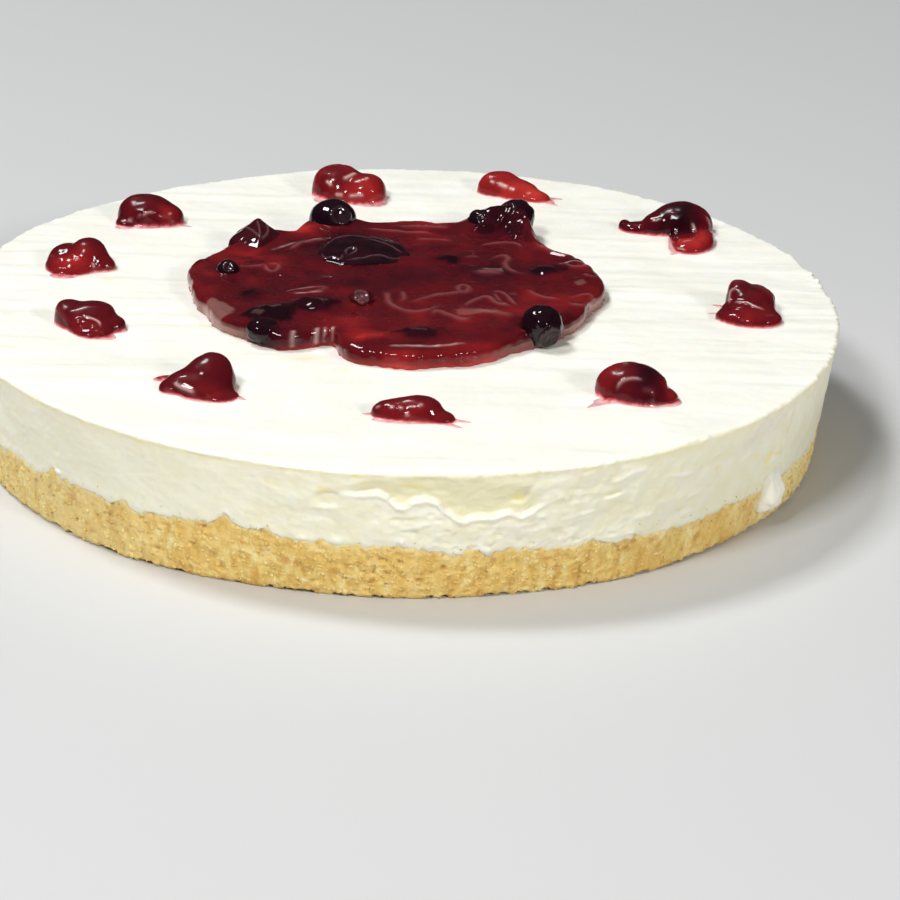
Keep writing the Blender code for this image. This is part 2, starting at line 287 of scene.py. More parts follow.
def makeStudio():
    world = bpy.data.worlds.new("studio")
    world.use_nodes = True
    tree = world.node_tree
    background = tree.nodes["Background"]
    background.inputs["Strength"].default_value = studio["worldStrength"]
    place = addNode(tree, "ShaderNodeTexCoord")
    split = addNode(tree, "ShaderNodeSeparateXYZ")
    link(tree, place.outputs["Generated"], split.inputs[0])
    sky = rampNode(tree, split.outputs["Z"], studio["sky"])
    link(tree, sky, background.inputs["Color"])
    bpy.context.scene.world = world
    for name, (place, target, width, height, watts, colour) in lamps.items():
        lamp = bpy.data.lights.new(name, "AREA")
        lamp.shape = "RECTANGLE"
        lamp.size, lamp.size_y = width, height
        lamp.energy = watts
        lamp.color = colour
        holder = bpy.data.objects.new(name, lamp)
        holder.location = place
        holder.rotation_euler = (Vector(target) - Vector(place)).to_track_quat("-Z", "Y").to_euler()
        bpy.context.scene.collection.objects.link(holder)
    half = studio["floorSize"] / 2
    mesh = bpy.data.meshes.new("floor")
    mesh.from_pydata([(-half, -half, 0), (half, -half, 0), (half, half, 0), (-half, half, 0)], [], [(0, 1, 2, 3)])
    floor = bpy.data.objects.new("floor", mesh)
    bpy.context.scene.collection.objects.link(floor)
    material, tree, shader = newMaterial("floorPaint", {"Roughness": 0.6, "Base Color": (*studio["floorColour"], 1)})
    mesh.materials.append(material)
    bpy.context.scene.view_settings.view_transform = "Standard"
    bpy.context.scene.view_settings.look = "None"


makeCamera()
makeStudio()
print("camera, floor and lights made")

# ---- the cake's round side, as the solids have it


def rimRadius(angle):
    return rimReach - 0.0006 + 0.0009 * np.cos(angle - 0.2) + 0.0014 * np.cos(3 * (angle - 0.9)) - 0.0001


def footRadius(angle):
    return 0.119 + 0.0004 * np.sin(5 * angle + 1.0) + 0.0003 * np.sin(11 * angle)


def wallRadius(angle, height):
    share = height / creamTop
    return footRadius(angle) + (rimRadius(angle) - footRadius(angle)) * share


crumbLineLook = {
    "height": 0.0122, "ripple": 0.0003,
    # swells along it: direction, rise in millimetres, width in degrees
    "swells": [(-114, 4.4, 38), (-134, 1.2, 6), (-110, 1.6, 4), (-121, -1.3, 4), (-88, 0.8, 5), (-65, 0.8, 3)],
    # sharper peaks and bites that only the looks have
    "peaks": [(-110.4, 2.0, 1.0), (-97.9, 1.5, 0.7), (-91.0, -0.9, 0.6), (-96.0, -0.9, 0.5), (-99.6, -0.6, 0.5),
              (-82.6, -0.8, 0.6), (-78.0, -1.2, 0.7), (-105.8, 0.7, 0.5), (-64.3, 0.9, 0.6), (-138.6, 0.7, 0.8)],
}


def crumbLine(angle):
    look = crumbLineLook
    rise = lobeSum(angle, look["swells"]) * mm
    return look["height"] + rise + look["ripple"] * (np.sin(9 * angle + 0.6) + np.sin(23 * angle))


def raggedLine(angle):
    # the crumb line with the small bites and peaks that single crumbs give it
    x, y = np.cos(angle) * 120, np.sin(angle) * 120  # millimetres along the side
    small = softNoise(x / 2.6, y / 2.6, 0, 5)
    peaks = np.maximum(softNoise(x / 3.4, y / 3.4, 3, 9), 0) ** 2
    finest = softNoise(x / 1.0, y / 1.0, 7, 6)
    sharp = lobeSum(angle, crumbLineLook["peaks"]) * mm
    return crumbLine(angle) + 0.0006 * small + 0.0018 * peaks + 0.0006 * finest - 0.0005 + sharp


# ---- cream filling

creamLook = {
    "sideSegments": 1280, "sideRows": 58, "edgeRound": 0.0011,
    "lump": 0.00032, "lumpSize": 0.020, "stroke": 0.00016, "strokeLength": 0.055, "strokeWidth": 0.0042,
    "grain": 0.00006, "sideGrain": 0.00007, "smear": 0.00026, "pit": 0.0005,
    # the torn ledge on the side: direction, height of its lip and of its roof, in degrees and millimetres
    "ledge": [(-95.5, 31.5, 32.5), (-94, 30.8, 33.5), (-92.5, 31.2, 34.6), (-91, 31.8, 35.2), (-90, 30.8, 35.8),
              (-88.9, 27.9, 36.2), (-87.9, 27.7, 36.6), (-87, 29.5, 36.9), (-85.6, 30.2, 36.8), (-84.1, 28.8, 36.4),
              (-82.9, 25.9, 36.2), (-81, 23.9, 36.0), (-79.2, 24.4, 35.6), (-76.8, 24.9, 35.2), (-75.5, 25.5, 34.0),
              (-73.9, 24.4, 32.2), (-72.6, 25.8, 31.2), (-71.3, 27.4, 30.6), (-69.5, 28.8, 30.0), (-67.5, 29.4, 29.8)],
    "ledgeDepth": 1.5, "ledgeLip": 0.60,
    # smaller torn hollows: direction, height, reach along, reach up, lean, depth; degrees and millimetres
    "hollows": [(-103.8, 32.0, 1.8, 1.6, -0.5, 0.12), (-97.2, 29.0, 1.8, 2.4, 0.3, 0.8), (-74.4, 30.4, 1.3, 2.6, 0.2, 0.9),
                (-62.5, 27.5, 1.6, 0.9, 0.3, 0.5), (-40.0, 30.0, 2.6, 1.8, 0.2, 0.4)],
    # smears and drops that stand out: direction, height, reach along, reach up, lean, rise
    "smears": [(-60.5, 32.2, 2.6, 1.1, 0.5, 0.5), (-52.2, 28.4, 2.0, 1.0, -0.3, 0.5), (-49.6, 21.2, 1.3, 0.9, 0.3, 0.6),
               (-57.2, 18.6, 1.4, 1.0, 0.0, 0.5), (-50.3, 15.9, 1.2, 0.9, 0.0, 0.5), (-58.8, 14.4, 1.0, 0.8, 0.0, 0.4),
               (-39.6, 26.8, 1.2, 0.9, 0.4, 0.5), (-33.0, 20.5, 1.1, 1.3, 0.6, 0.7), (-31.4, 14.2, 1.5, 2.2, 0.2, 1.5),
               (-32.4, 8.4, 1.8, 2.4, -0.3, 2.0), (-30.6, 5.4, 1.6, 1.5, 0.0, 1.6), (-105.8, 17.9, 0.5, 0.7, 0, 0.8),
               (-110.0, 21.2, 0.4, 0.6, 0, 0.6), (-136.6, 18.0, 0.6, 0.8, 0, 0.8), (-100.5, 16.6, 0.7, 0.8, 0, 0.6),
               (-96.2, 16.6, 0.8, 1.2, 0, 0.6), (-78.2, 14.4, 1.0, 1.2, 0, 0.6), (-88.4, 17.6, 0.6, 0.8, 0, 0.5),
               (-72.5, 24.2, 2.0, 0.8, -0.6, 0.5), (-66.5, 22.5, 1.8, 0.7, 0.4, 0.4), (-86.5, 22.0, 2.2, 0.8, 0.5, 0.3)],
    # a curved crack, a thin fold across the left of the side: direction and height along it
    "crack": [(-130.5, 23.6), (-128.5, 23.3), (-125.5, 24.4), (-122.0, 26.6), (-119.5, 27.8)],
    # yellow and pale lavender patches: direction, height, reach along, reach up
    "yellow": [(-131.0, 36.0, 1.0, 0.6), (-121.5, 35.8, 0.8, 0.6), (-113.0, 36.4, 0.9, 0.5), (-34.6, 22.0, 1.2, 2.4),
               (-74.4, 29.4, 1.2, 1.8), (-86.6, 33.6, 2.0, 0.9), (-30.5, 27.6, 1.0, 0.8), (-32.4, 21.7, 0.9, 0.9), (-37.7, 24.6, 0.8, 0.7),
               (-93.7, 36.4, 0.8, 0.5), (-46.1, 26.4, 0.8, 0.6), (-97.6, 31.8, 1.2, 0.8), (-138.5, 36.2, 0.6, 0.5)],
    "lavender": [(-36.7, 33.0, 3.2, 3.0), (-39.7, 29.9, 2.4, 2.2)],
    # small torn spikes on the rim: direction, height, width in degrees
    "spikes": [(13.6, 1.3, 0.35), (14.8, 0.9, 0.3), (16.2, 1.1, 0.4), (11.8, 0.6, 0.4), (40, 0.5, 0.6), (62, 0.4, 0.5)],
}


def patch(angle, height, direction, level, along, up, lean=0):
    # 1 at a place on the side, falling to nothing over its reach; a lean tilts it
    east = np.degrees(angleBetween(angle, direction))
    north = height / mm - level - lean * east
    return np.exp(-((east / along) ** 2) - (north / up) ** 2)


def creamHeight(x, y):
    # height of the smoothed top over its level
    look = creamLook
    lumps = layeredNoise(x / look["lumpSize"], y / look["lumpSize"], 0, 11, 2) * look["lump"]
    strokes = softNoise(x / look["strokeLength"], y / look["strokeWidth"], 2, 21) * look["stroke"]
    strokes += softNoise(x / 0.03 + 5, y / 0.0019, 4, 22) * look["stroke"] * 0.4
    grain = layeredNoise(x / 0.0035, y / 0.0035, 1, 31, 2) * look["grain"]
    return lumps + strokes + grain


def sideRelief(angle, height):
    # how far the cream's side stands out, and its colour: painted shade and painted highlight, with real mottling and
    # patches
    look = creamLook
    x, y, z = np.cos(angle) * 0.122, np.sin(angle) * 0.122, np.broadcast_to(height, angle.shape)
    level = z / mm
    degrees = np.degrees(angleBetween(angle, 90)) + 90
    degrees = np.where(degrees > 180, degrees - 360, degrees)
    rough = smoothStep(-112, -92, degrees) * smoothStep(-20, -34, degrees) * 0.65 + 0.35
    out = layeredNoise(x / 0.012, y / 0.012, z / 0.007, 41, 2) * look["smear"]
    folds = np.abs(layeredNoise(x / 0.0032, y / 0.0032, z / 0.0030, 51, 2))
    out = out + (0.3 - np.minimum(folds, 0.3)) * 0.00042 * rough
    out = out + layeredNoise(x / 0.0026, y / 0.0026, z / 0.0024, 53, 2) * 0.00022 * rough
    out = out + layeredNoise(x / 0.0016, y / 0.0016, z / 0.0012, 55, 2) * look["sideGrain"]
    pits = softNoise(x / 0.0022, y / 0.0022, z / 0.0017, 61)
    where = smoothStep(-0.1, 0.6, softNoise(x / 0.02, y / 0.02, z / 0.012, 62)) * rough
    out = out - smoothStep(0.5, 0.85, pits) * look["pit"] * where
    # painted shade: the whole side warmer and darker than the top, more so just under the rim and towards the right,
    # with real mottling mixed in
    rimShade = smoothStep(0.0042, 0.0006, creamTop - height)
    shadeAndStain = 0.52 + 0.22 * rimShade + 0.10 * layeredNoise(x / 0.010, y / 0.010, z / 0.006, 71, 2)
    shadeAndStain = shadeAndStain + 0.20 * smoothStep(0.2, 0.9, np.cos(angle)) + 0.26 * rough * softNoise(x / 0.0030, y / 0.0030, z / 0.0030, 73)
    # the torn ledge
    directions, lips, roofs = np.array(look["ledge"]).T
    wave = 0.35 * softNoise(x / 0.003, y / 0.003, 5, 82)
    lip = np.interp(degrees, directions, lips) + wave
    roof = np.interp(degrees, directions, roofs) + wave
    near = smoothStep(-96.5, -93.0, degrees) * smoothStep(-70.2, -73.4, degrees)
    share = np.clip((level - lip) / np.maximum(roof - lip, 0.5), 0, 1)
    recess = smoothStep(-0.2, 0.5, level - lip) * (1 - share) ** 0.8 * near
    torn = 0.25 * layeredNoise(x / 0.0032, y / 0.0032, z / 0.0016, 84, 2)
    out = out - recess * (look["ledgeDepth"] + torn) * mm
    out = out + near * hill(level - lip + 0.5, 0.85) * look["ledgeLip"] * mm
    out = out - near * hill(level - lip + 1.9, 0.9) * 0.12 * mm
    # painted shade in the recess above the torn ledge's lip
    shadeAndStain = np.maximum(shadeAndStain, near * smoothStep(0.1, 0.9, level - lip) * smoothStep(1.25, 0.9, share))
    # painted highlight where the ledge's lip catches the light
    bright = near * hill(level - lip + 0.4, 0.8)
    for direction, place, along, up, lean, depth in look["hollows"]:
        spot = patch(angle, z, direction, place, along, up, lean)
        out = out - smoothStep(0.25, 0.75, spot) * depth * mm
        out = out + patch(angle, z, direction, place - up * 1.1, along, 0.6, lean) * 0.4 * min(depth, 1) * mm
        # painted shade in each hollow
        shadeAndStain = np.maximum(shadeAndStain, smoothStep(0.2, 0.8, spot) * 0.85)
    for direction, place, along, up, lean, rise in look["smears"]:
        spot = smoothStep(0.2, 0.8, patch(angle, z, direction, place, along, up, lean))
        out = out + spot * rise * 0.7 * mm
        # painted highlight on the smears that stand out
        bright = np.maximum(bright, spot * 0.7)
    crack = np.array(look["crack"])
    crackLevel = np.interp(degrees, crack[:, 0], crack[:, 1])
    across = smoothStep(-131, -129.5, degrees) * smoothStep(-119, -121, degrees)
    out = out - across * hill(level - crackLevel, 0.4) * 0.06 * mm + across * hill(level - crackLevel + 0.8, 0.7) * 0.04 * mm
    # the painted highlight takes away the painted shade
    shadeAndStain = shadeAndStain * (1 - 0.8 * bright)
    yellow, lavender = np.zeros(angle.shape), np.zeros(angle.shape)
    for direction, place, along, up in look["yellow"]:
        spot = patch(angle, z, direction, place, along, up) + 0.3 * softNoise(x / 0.001, y / 0.001, z / 0.001, 86)
        yellow = np.maximum(yellow, smoothStep(0.4, 0.9, spot))
    specks = softNoise(x / 0.0012, y / 0.0012, z / 0.0009, 88)
    yellow = np.maximum(yellow, smoothStep(0.80 - 0.10 * rimShade, 0.92, specks) * (0.30 + 0.5 * rimShade))
    for direction, place, along, up in look["lavender"]:
        lavender = np.maximum(lavender, patch(angle, z, direction, place, along, up))
    return out, {"shadeAndStain": np.clip(shadeAndStain, 0, 1), "yellow": yellow, "lavender": lavender}


# yellow and pink stains on the top: east, north, reach east, reach north, strength; millimetres
topStains = {
    "yellow": [(-25.5, -47.0, 4.0, 1.1, 0.9), (-22.0, -45.6, 2.6, 0.8, 0.8), (-84.6, 13.2, 1.8, 0.7, 0.9),
               (-14.0, -54.0, 1.6, 0.6, 0.5), (2.0, -57.5, 2.4, 0.6, 0.4), (60.0, 40.0, 1.2, 0.6, 0.3)],
    "pink": [(-26.0, -46.0, 6.0, 1.6, 0.35), (-97.0, 14.0, 4.0, 3.0, 0.25), (71.0, 50.0, 3.5, 2.0, 0.30),
             (-48.0, -79.0, 8.0, 2.2, 0.25), (20.0, -92.0, 6.0, 1.8, 0.30), (55.0, -76.0, 6.0, 2.4, 0.25),
             (44.0, 96.0, 6.0, 3.0, 0.30), (-84.0, -34.0, 6.0, 2.2, 0.22), (-55.0, -12.0, 1.6, 12.0, 0.25)],
}


def topStain(x, y, key):
    total = np.zeros(x.shape)
    for east, north, reachEast, reachNorth, strength in topStains[key]:
        distance = ((x / mm - east) / reachEast) ** 2 + ((y / mm - north) / reachNorth) ** 2
        total = np.maximum(total, strength * np.exp(-distance))
    return total


def makeCream():
    look = creamLook
    count = look["sideSegments"]
    rings = []
    layers = {"shadeAndStain": [], "yellow": [], "lavender": [], "pink": [], "grip": []}

    def add(x, y, z, **values):
        rings.append(stacked(x, y, z))
        for key, layer in layers.items():
            layer.append(np.broadcast_to(np.asarray(values.get(key, 0), float), x.shape).copy())

    for share, n in ((0.30, 160), (0.60, 320), (0.85, 640), (0.97, count)):
        a = turns(n)
        reach = wallRadius(a, crumbLine(a)) * share
        add(reach * np.cos(a), reach * np.sin(a), crumbLine(a) * share + 0.0122 * (1 - share))
    a = turns(count)
    start, stop = raggedLine(a), creamTop - look["edgeRound"]
    for row in range(look["sideRows"] + 1):
        t = row / look["sideRows"]
        z = start + (stop - start) * t
        out, shadesAndStains = sideRelief(a, z)
        edge = -0.00008 * hill(z - start, 0.0003) + 0.0001 * hill(z - start - 0.0014, 0.0010)
        lipOut = 0.0004 * smoothStep(0.0022, 0.0, creamTop - z)
        reach = wallRadius(a, z) + out + edge + lipOut
        add(reach * np.cos(a), reach * np.sin(a), z, grip=hill(z - start, 0.0022), **shadesAndStains)
    # over the rim
    out, shadesAndStains = sideRelief(a, np.full(count, stop))
    rag = 0.0004 * softNoise(np.cos(a) * 60, np.sin(a) * 60, 0, 91) + 0.0003 * softNoise(np.cos(a) * 140, np.sin(a) * 140, 0, 92)
    spikes = lobeSum(a, look["spikes"]) * mm
    outer = wallRadius(a, stop) + out + 0.0004 + rag + 0.3 * spikes
    for bend in (25, 50, 75, 90):
        t = math.radians(bend)
        reach = outer - look["edgeRound"] * (1 - math.cos(t))
        x, y = reach * np.cos(a), reach * np.sin(a)
        lift = (creamHeight(x, y) + 0.5 * spikes) * math.sin(t)
        # the side's painted shade fades out over the rounded rim
        add(x, y, stop + look["edgeRound"] * math.sin(t) + lift, shadeAndStain=shadesAndStains["shadeAndStain"] * math.cos(t) * 0.7)
    # the top, coarser towards the middle
    steps = [(0.0, count, 18, 0.0205), (0.0205, 640, 40, 0.072), (0.072, 320, 12, 0.095), (0.095, 160, 5, 0.118)]
    for begin, n, rows, end in steps:
        a = turns(n)
        base = outer[:: count // n]
        for row in range(1, rows + 1):
            inset = begin + (end - begin) * row / rows
            reach = (base - look["edgeRound"]) * (1 - inset / 0.124)
            x, y = reach * np.cos(a), reach * np.sin(a)
            add(x, y, creamTop + creamHeight(x, y), yellow=topStain(x, y, "yellow"), pink=topStain(x, y, "pink"))
    return ringMesh("creamFilling", rings, layers)


def creamMaterial():
    material, tree, shader = newMaterial("setCream", {
        "Roughness": 0.42, "IOR": 1.42, "Subsurface Weight": 0.35, "Subsurface Radius": (0.0030, 0.0022, 0.0012),
        "Subsurface Scale": 1.0, "Coat Weight": 0.12, "Coat Roughness": 0.25})
    mottle = noiseNode(tree, 60, 4, 0.55)
    patches = noiseNode(tree, 170, 3, 0.6)
    base = rampNode(tree, mottle, [(0.30, (0.90, 0.885, 0.785)), (0.55, (0.935, 0.92, 0.83)), (0.80, (0.955, 0.945, 0.88))])
    fine = mixColour(tree, mathNode(tree, "MULTIPLY", patches, 0.25), base, (0.96, 0.95, 0.89))
    # painted shade: warm, darker cream where the side, the recesses and the hollows lie in shade
    shadedAndStained = mixColour(tree, attributeNode(tree, "shadeAndStain"), fine, (0.86, 0.815, 0.56))
    yellowed = mixColour(tree, mathNode(tree, "MULTIPLY", attributeNode(tree, "yellow"), 0.75), shadedAndStained, (0.90, 0.77, 0.30))
    mauve = mixColour(tree, mathNode(tree, "MULTIPLY", attributeNode(tree, "lavender"), 0.45), yellowed, (0.78, 0.71, 0.74))
    pink = mixColour(tree, mathNode(tree, "MULTIPLY", attributeNode(tree, "pink"), 0.6), mauve, (0.93, 0.70, 0.66))
    link(tree, pink, shader.inputs["Base Color"])
    bumpNode(tree, shader, noiseNode(tree, 900, 4, 0.6), 0.25, 0.0002)
    return material


cream = finishPiece(makeCream(), creamMaterial(), ["cheese_filling"])
print("cream filling made:", len(cream.data.polygons), "faces")

# ---- crumb base

crumbLook = {
    "segments": 1280, "rows": 44, "tuck": 0.0010, "grain": 0.00028, "streak": 0.00018, "hole": 0.0007,
    # toasted spots and pale flakes on the side: direction, height, reach along, reach up
    "toasted": [(-96.3, 7.4, 0.9, 1.0), (-102.5, 9.2, 0.7, 1.2), (-74.5, 3.9, 0.4, 1.8), (-68.8, 7.3, 0.8, 1.4),
                (-55.2, 10.9, 0.7, 0.9), (-47.6, 6.4, 0.8, 1.3), (-59.1, 9.2, 0.6, 1.0), (-140.8, 14.2, 0.9, 1.4),
                (-134.3, 12.3, 1.0, 1.3), (-149.2, 3.1, 0.6, 0.8), (-86.0, 6.0, 0.7, 1.6), (-83.0, 9.5, 0.5, 1.4),
                (-112.0, 8.0, 0.6, 1.6), (-120.0, 6.5, 0.7, 1.1), (-127.0, 9.5, 0.8, 0.9), (-38.0, 9.0, 0.7, 1.2)],
    "flakes": [(-94.2, 6.1, 0.5, 0.6), (-98.2, 13.4, 0.8, 0.5), (-100.0, 4.0, 0.6, 0.5), (-129.7, 15.4, 0.5, 0.6),
               (-95.4, 6.3, 0.8, 0.4), (-90.6, 8.8, 0.6, 0.4), (-71.5, 10.0, 0.4, 0.6), (-54.0, 5.5, 0.6, 0.4)],
}


def crumbRelief(angle, height):
    x, y, z = np.cos(angle) * 0.12, np.sin(angle) * 0.12, height
    grain = layeredNoise(x / 0.0011, y / 0.0011, z / 0.0011, 101, 2) * crumbLook["grain"]
    streak = layeredNoise(x / 0.0018, y / 0.0018, z / 0.006, 111, 2) * crumbLook["streak"]
    holes = smoothStep(0.55, 0.85, softNoise(x / 0.0016, y / 0.0016, z / 0.0019, 121)) * crumbLook["hole"]
    return grain + streak - holes


def makeCrumbBase():
    look = crumbLook
    count = look["segments"]
    rings = []
    layers = {"tint": [], "grip": [], "toast": []}

    def add(x, y, z, **values):
        rings.append(stacked(x, y, z))
        for key, layer in layers.items():
            layer.append(np.broadcast_to(np.asarray(values.get(key, 0), float), x.shape).copy())

    for share, n in ((0.35, 160), (0.65, 320), (0.88, 640)):
        a = turns(n)
        add(footRadius(a) * share * np.cos(a), footRadius(a) * share * np.sin(a), np.zeros(n))
    a = turns(count)
    reach = footRadius(a) - 0.0022
    add(reach * np.cos(a), reach * np.sin(a), np.zeros(count))
    line = raggedLine(a)
    top = line + look["tuck"]
    for row in range(look["rows"] + 1):
        t = row / look["rows"]
        z = 0.0002 + (top - 0.0002) * t
        x, y = np.cos(a) * 120, np.sin(a) * 120
        gaps = smoothStep(0.05, 0.6, softNoise(x / 2.2, y / 2.2, 0, 131))
        ragged = smoothStep(0.0013, 0.0002, z) * (0.0004 + 0.0018 * gaps)
        under = 0.0008 * smoothStep(0.0002, 0.0008, z - line)
        reach = wallRadius(a, z) + crumbRelief(a, z) - ragged - under
        # paler just under the crumb line; painted light makes both ends of the side paler
        pale = 0.35 * smoothStep(0.0020, 0.0, line - z) + 0.7 * smoothStep(0.72, 0.93, np.cos(a)) + 0.4 * smoothStep(-0.40, -0.75, np.cos(a))
        broken = 0.35 * softNoise(x / 1.1, y / 1.1, z / 0.0009, 133)
        toast = np.zeros(count)
        for direction, level, along, up in look["toasted"]:
            toast = np.maximum(toast, smoothStep(0.15, 0.95, patch(a, z, direction, level, along, up) + broken))
        for direction, level, along, up in look["flakes"]:
            pale = np.maximum(pale, smoothStep(0.25, 0.7, patch(a, z, direction, level, along, up) + broken))
        grip = smoothStep(0.0003, 0.0010, z) * smoothStep(0.0, 0.0006, line - z)
        add(reach * np.cos(a), reach * np.sin(a), z, tint=np.clip(pale, 0, 1), grip=grip, toast=toast * 0.8)
    for share, n in ((0.93, 640), (0.6, 320), (0.3, 160)):
        a = turns(n)
        reach = wallRadius(a, crumbLine(a)) * share
        add(reach * np.cos(a), reach * np.sin(a), crumbLine(a) * share + 0.0122 * (1 - share) + 0.0002)
    return ringMesh("crumbBase", rings, layers)


def crumbMaterial():
    material, tree, shader = newMaterial("pressedCrumb", {
        "Roughness": 0.9, "Specular IOR Level": 0.25, "Subsurface Weight": 0.15, "Subsurface Radius": (0.002, 0.0012, 0.0005), "Subsurface Scale": 1.0})
    streaks = noiseNode(tree, 360, 4, 0.6, 0.2, (1, 1, 0.45))
    base = rampNode(tree, streaks, [(0.28, (0.58, 0.34, 0.085)), (0.42, (0.74, 0.50, 0.150)),
                                    (0.55, (0.84, 0.63, 0.225)), (0.75, (0.92, 0.79, 0.42))])
    broad = noiseNode(tree, 110, 2, 0.5)
    warm = mixColour(tree, rampNode(tree, broad, [(0.40, (0, 0, 0)), (0.62, (0.45, 0.45, 0.45))]), base, (0.78, 0.48, 0.125))
    spots = rampNode(tree, noiseNode(tree, 330, 2, 0.5), [(0.60, (0, 0, 0)), (0.74, (0.8, 0.8, 0.8))])
    toasted = mixColour(tree, spots, warm, (0.58, 0.31, 0.075))
    browned = mixColour(tree, attributeNode(tree, "toast"), toasted, (0.60, 0.31, 0.08))
    # pale flakes, pale grains and painted light at both ends of the side
    tint = mixColour(tree, attributeNode(tree, "tint"), browned, (0.90, 0.77, 0.42))
    link(tree, tint, shader.inputs["Base Color"])
    bumpNode(tree, shader, noiseNode(tree, 1600, 3, 0.6), 0.5, 0.0003)
    return material


crumb = crumbMaterial()
crumbBase = finishPiece(makeCrumbBase(), crumb, ["crumb_base"])
print("crumb base made:", len(crumbBase.data.polygons), "faces")

# single crumbs that stand out of the pressed side, and stray ones on the cream
grainLook = {
    "crumbGrains": {"from": crumbBase, "density": 0.42e6, "smallest": 0.00032, "largest": 0.00085, "sink": -0.00030, "seed": 3},
    "strayCrumbs": {"from": cream, "density": 0.9e5, "smallest": 0.00012, "largest": 0.00038, "sink": -0.00005, "seed": 8},
}


def grainTree():
    tree = bpy.data.node_groups.new("scatteredCrumbs", "GeometryNodeTree")
    face = tree.interface
    face.new_socket("Geometry", in_out="INPUT", socket_type="NodeSocketGeometry")
    for name, kind in (("density", "NodeSocketFloat"), ("smallest", "NodeSocketFloat"), ("largest", "NodeSocketFloat"), ("sink", "NodeSocketFloat"),
                       ("seed", "NodeSocketInt"), ("material", "NodeSocketMaterial")):
        face.new_socket(name, in_out="INPUT", socket_type=kind)
    face.new_socket("Geometry", in_out="OUTPUT", socket_type="NodeSocketGeometry")
    given = addNode(tree, "NodeGroupInput").outputs
    grip = addNode(tree, "GeometryNodeInputNamedAttribute", {"Name": "grip"}, data_type="FLOAT")
    amount = mathNode(tree, "MULTIPLY", grip.outputs["Attribute"], given["density"])
    points = addNode(tree, "GeometryNodeDistributePointsOnFaces")
    link(tree, given["Geometry"], points.inputs["Mesh"])
    link(tree, amount, points.inputs["Density"])
    link(tree, given["seed"], points.inputs["Seed"])
    inward = addNode(tree, "ShaderNodeVectorMath", operation="SCALE")
    link(tree, points.outputs["Normal"], inward.inputs[0])
    link(tree, given["sink"], inward.inputs["Scale"])
    sunk = addNode(tree, "GeometryNodeSetPosition")
    link(tree, points.outputs["Points"], sunk.inputs["Geometry"])
    link(tree, inward.outputs[0], sunk.inputs["Offset"])
    grain = addNode(tree, "GeometryNodeMeshIcoSphere", {"Radius": 1.0, "Subdivisions": 1})
    turned = addNode(tree, "FunctionNodeRandomValue", {"Max": (6.28, 6.28, 6.28)}, data_type="FLOAT_VECTOR")
    size = addNode(tree, "FunctionNodeRandomValue", data_type="FLOAT_VECTOR")
    low = addNode(tree, "ShaderNodeCombineXYZ")
    high = addNode(tree, "ShaderNodeCombineXYZ")
    for axis in range(3):
        link(tree, given["smallest"], low.inputs[axis])
        link(tree, given["largest"], high.inputs[axis])
    link(tree, low.outputs[0], size.inputs["Min"])
    link(tree, high.outputs[0], size.inputs["Max"])
    link(tree, given["seed"], size.inputs["Seed"])
    placed = addNode(tree, "GeometryNodeInstanceOnPoints")
    link(tree, sunk.outputs[0], placed.inputs["Points"])
    link(tree, grain.outputs["Mesh"], placed.inputs["Instance"])
    link(tree, turned.outputs["Value"], placed.inputs["Rotation"])
    link(tree, size.outputs["Value"], placed.inputs["Scale"])
    tone = addNode(tree, "FunctionNodeRandomValue", data_type="FLOAT")
    paleness = mathNode(tree, "MULTIPLY", [out for out in tone.outputs if out.enabled][0], 0.22)
    toned = addNode(tree, "GeometryNodeStoreNamedAttribute", {"Name": "tint"}, data_type="FLOAT", domain="INSTANCE")
    link(tree, placed.outputs[0], toned.inputs["Geometry"])
    link(tree, paleness, toned.inputs["Value"])
    real = addNode(tree, "GeometryNodeRealizeInstances")
    link(tree, toned.outputs[0], real.inputs[0])
    painted = addNode(tree, "GeometryNodeSetMaterial")
    link(tree, real.outputs[0], painted.inputs["Geometry"])
    link(tree, given["material"], painted.inputs["Material"])
    end = addNode(tree, "NodeGroupOutput")
    link(tree, painted.outputs[0], end.inputs["Geometry"])
    return tree


def makeGrains(name, look, tree):
    maker = bpy.data.objects.new(name, look["from"].data.copy())
    bpy.context.scene.collection.objects.link(maker)
    modifier = maker.modifiers.new("grains", "NODES")
    modifier.node_group = tree
    values = {"density": look["density"], "smallest": look["smallest"], "largest": look["largest"],
              "sink": look["sink"], "seed": look["seed"], "material": crumb}
    for item in tree.interface.items_tree:
        if item.item_type == "SOCKET" and item.in_out == "INPUT" and item.name in values:
            modifier[item.identifier] = values[item.name]
    bpy.context.view_layer.update()
    mesh = bpy.data.meshes.new_from_object(maker.evaluated_get(bpy.context.evaluated_depsgraph_get()))
    maker.modifiers.remove(modifier)
    maker.data = mesh
    maker.name = name
    return finishPiece(maker, crumb, [])


scatter = grainTree()
for name, look in grainLook.items():
    print("crumbs made:", name, len(makeGrains(name, look, scatter).data.polygons), "faces")

# a drop of cream that ran down over the crumb: direction, height, half its width, height and depth in millimetres
creamDrop = {"direction": -32.3, "level": 11.0, "wide": 5.0, "tall": 6.6, "deep": 4.0, "segments": 64, "rings": 40}


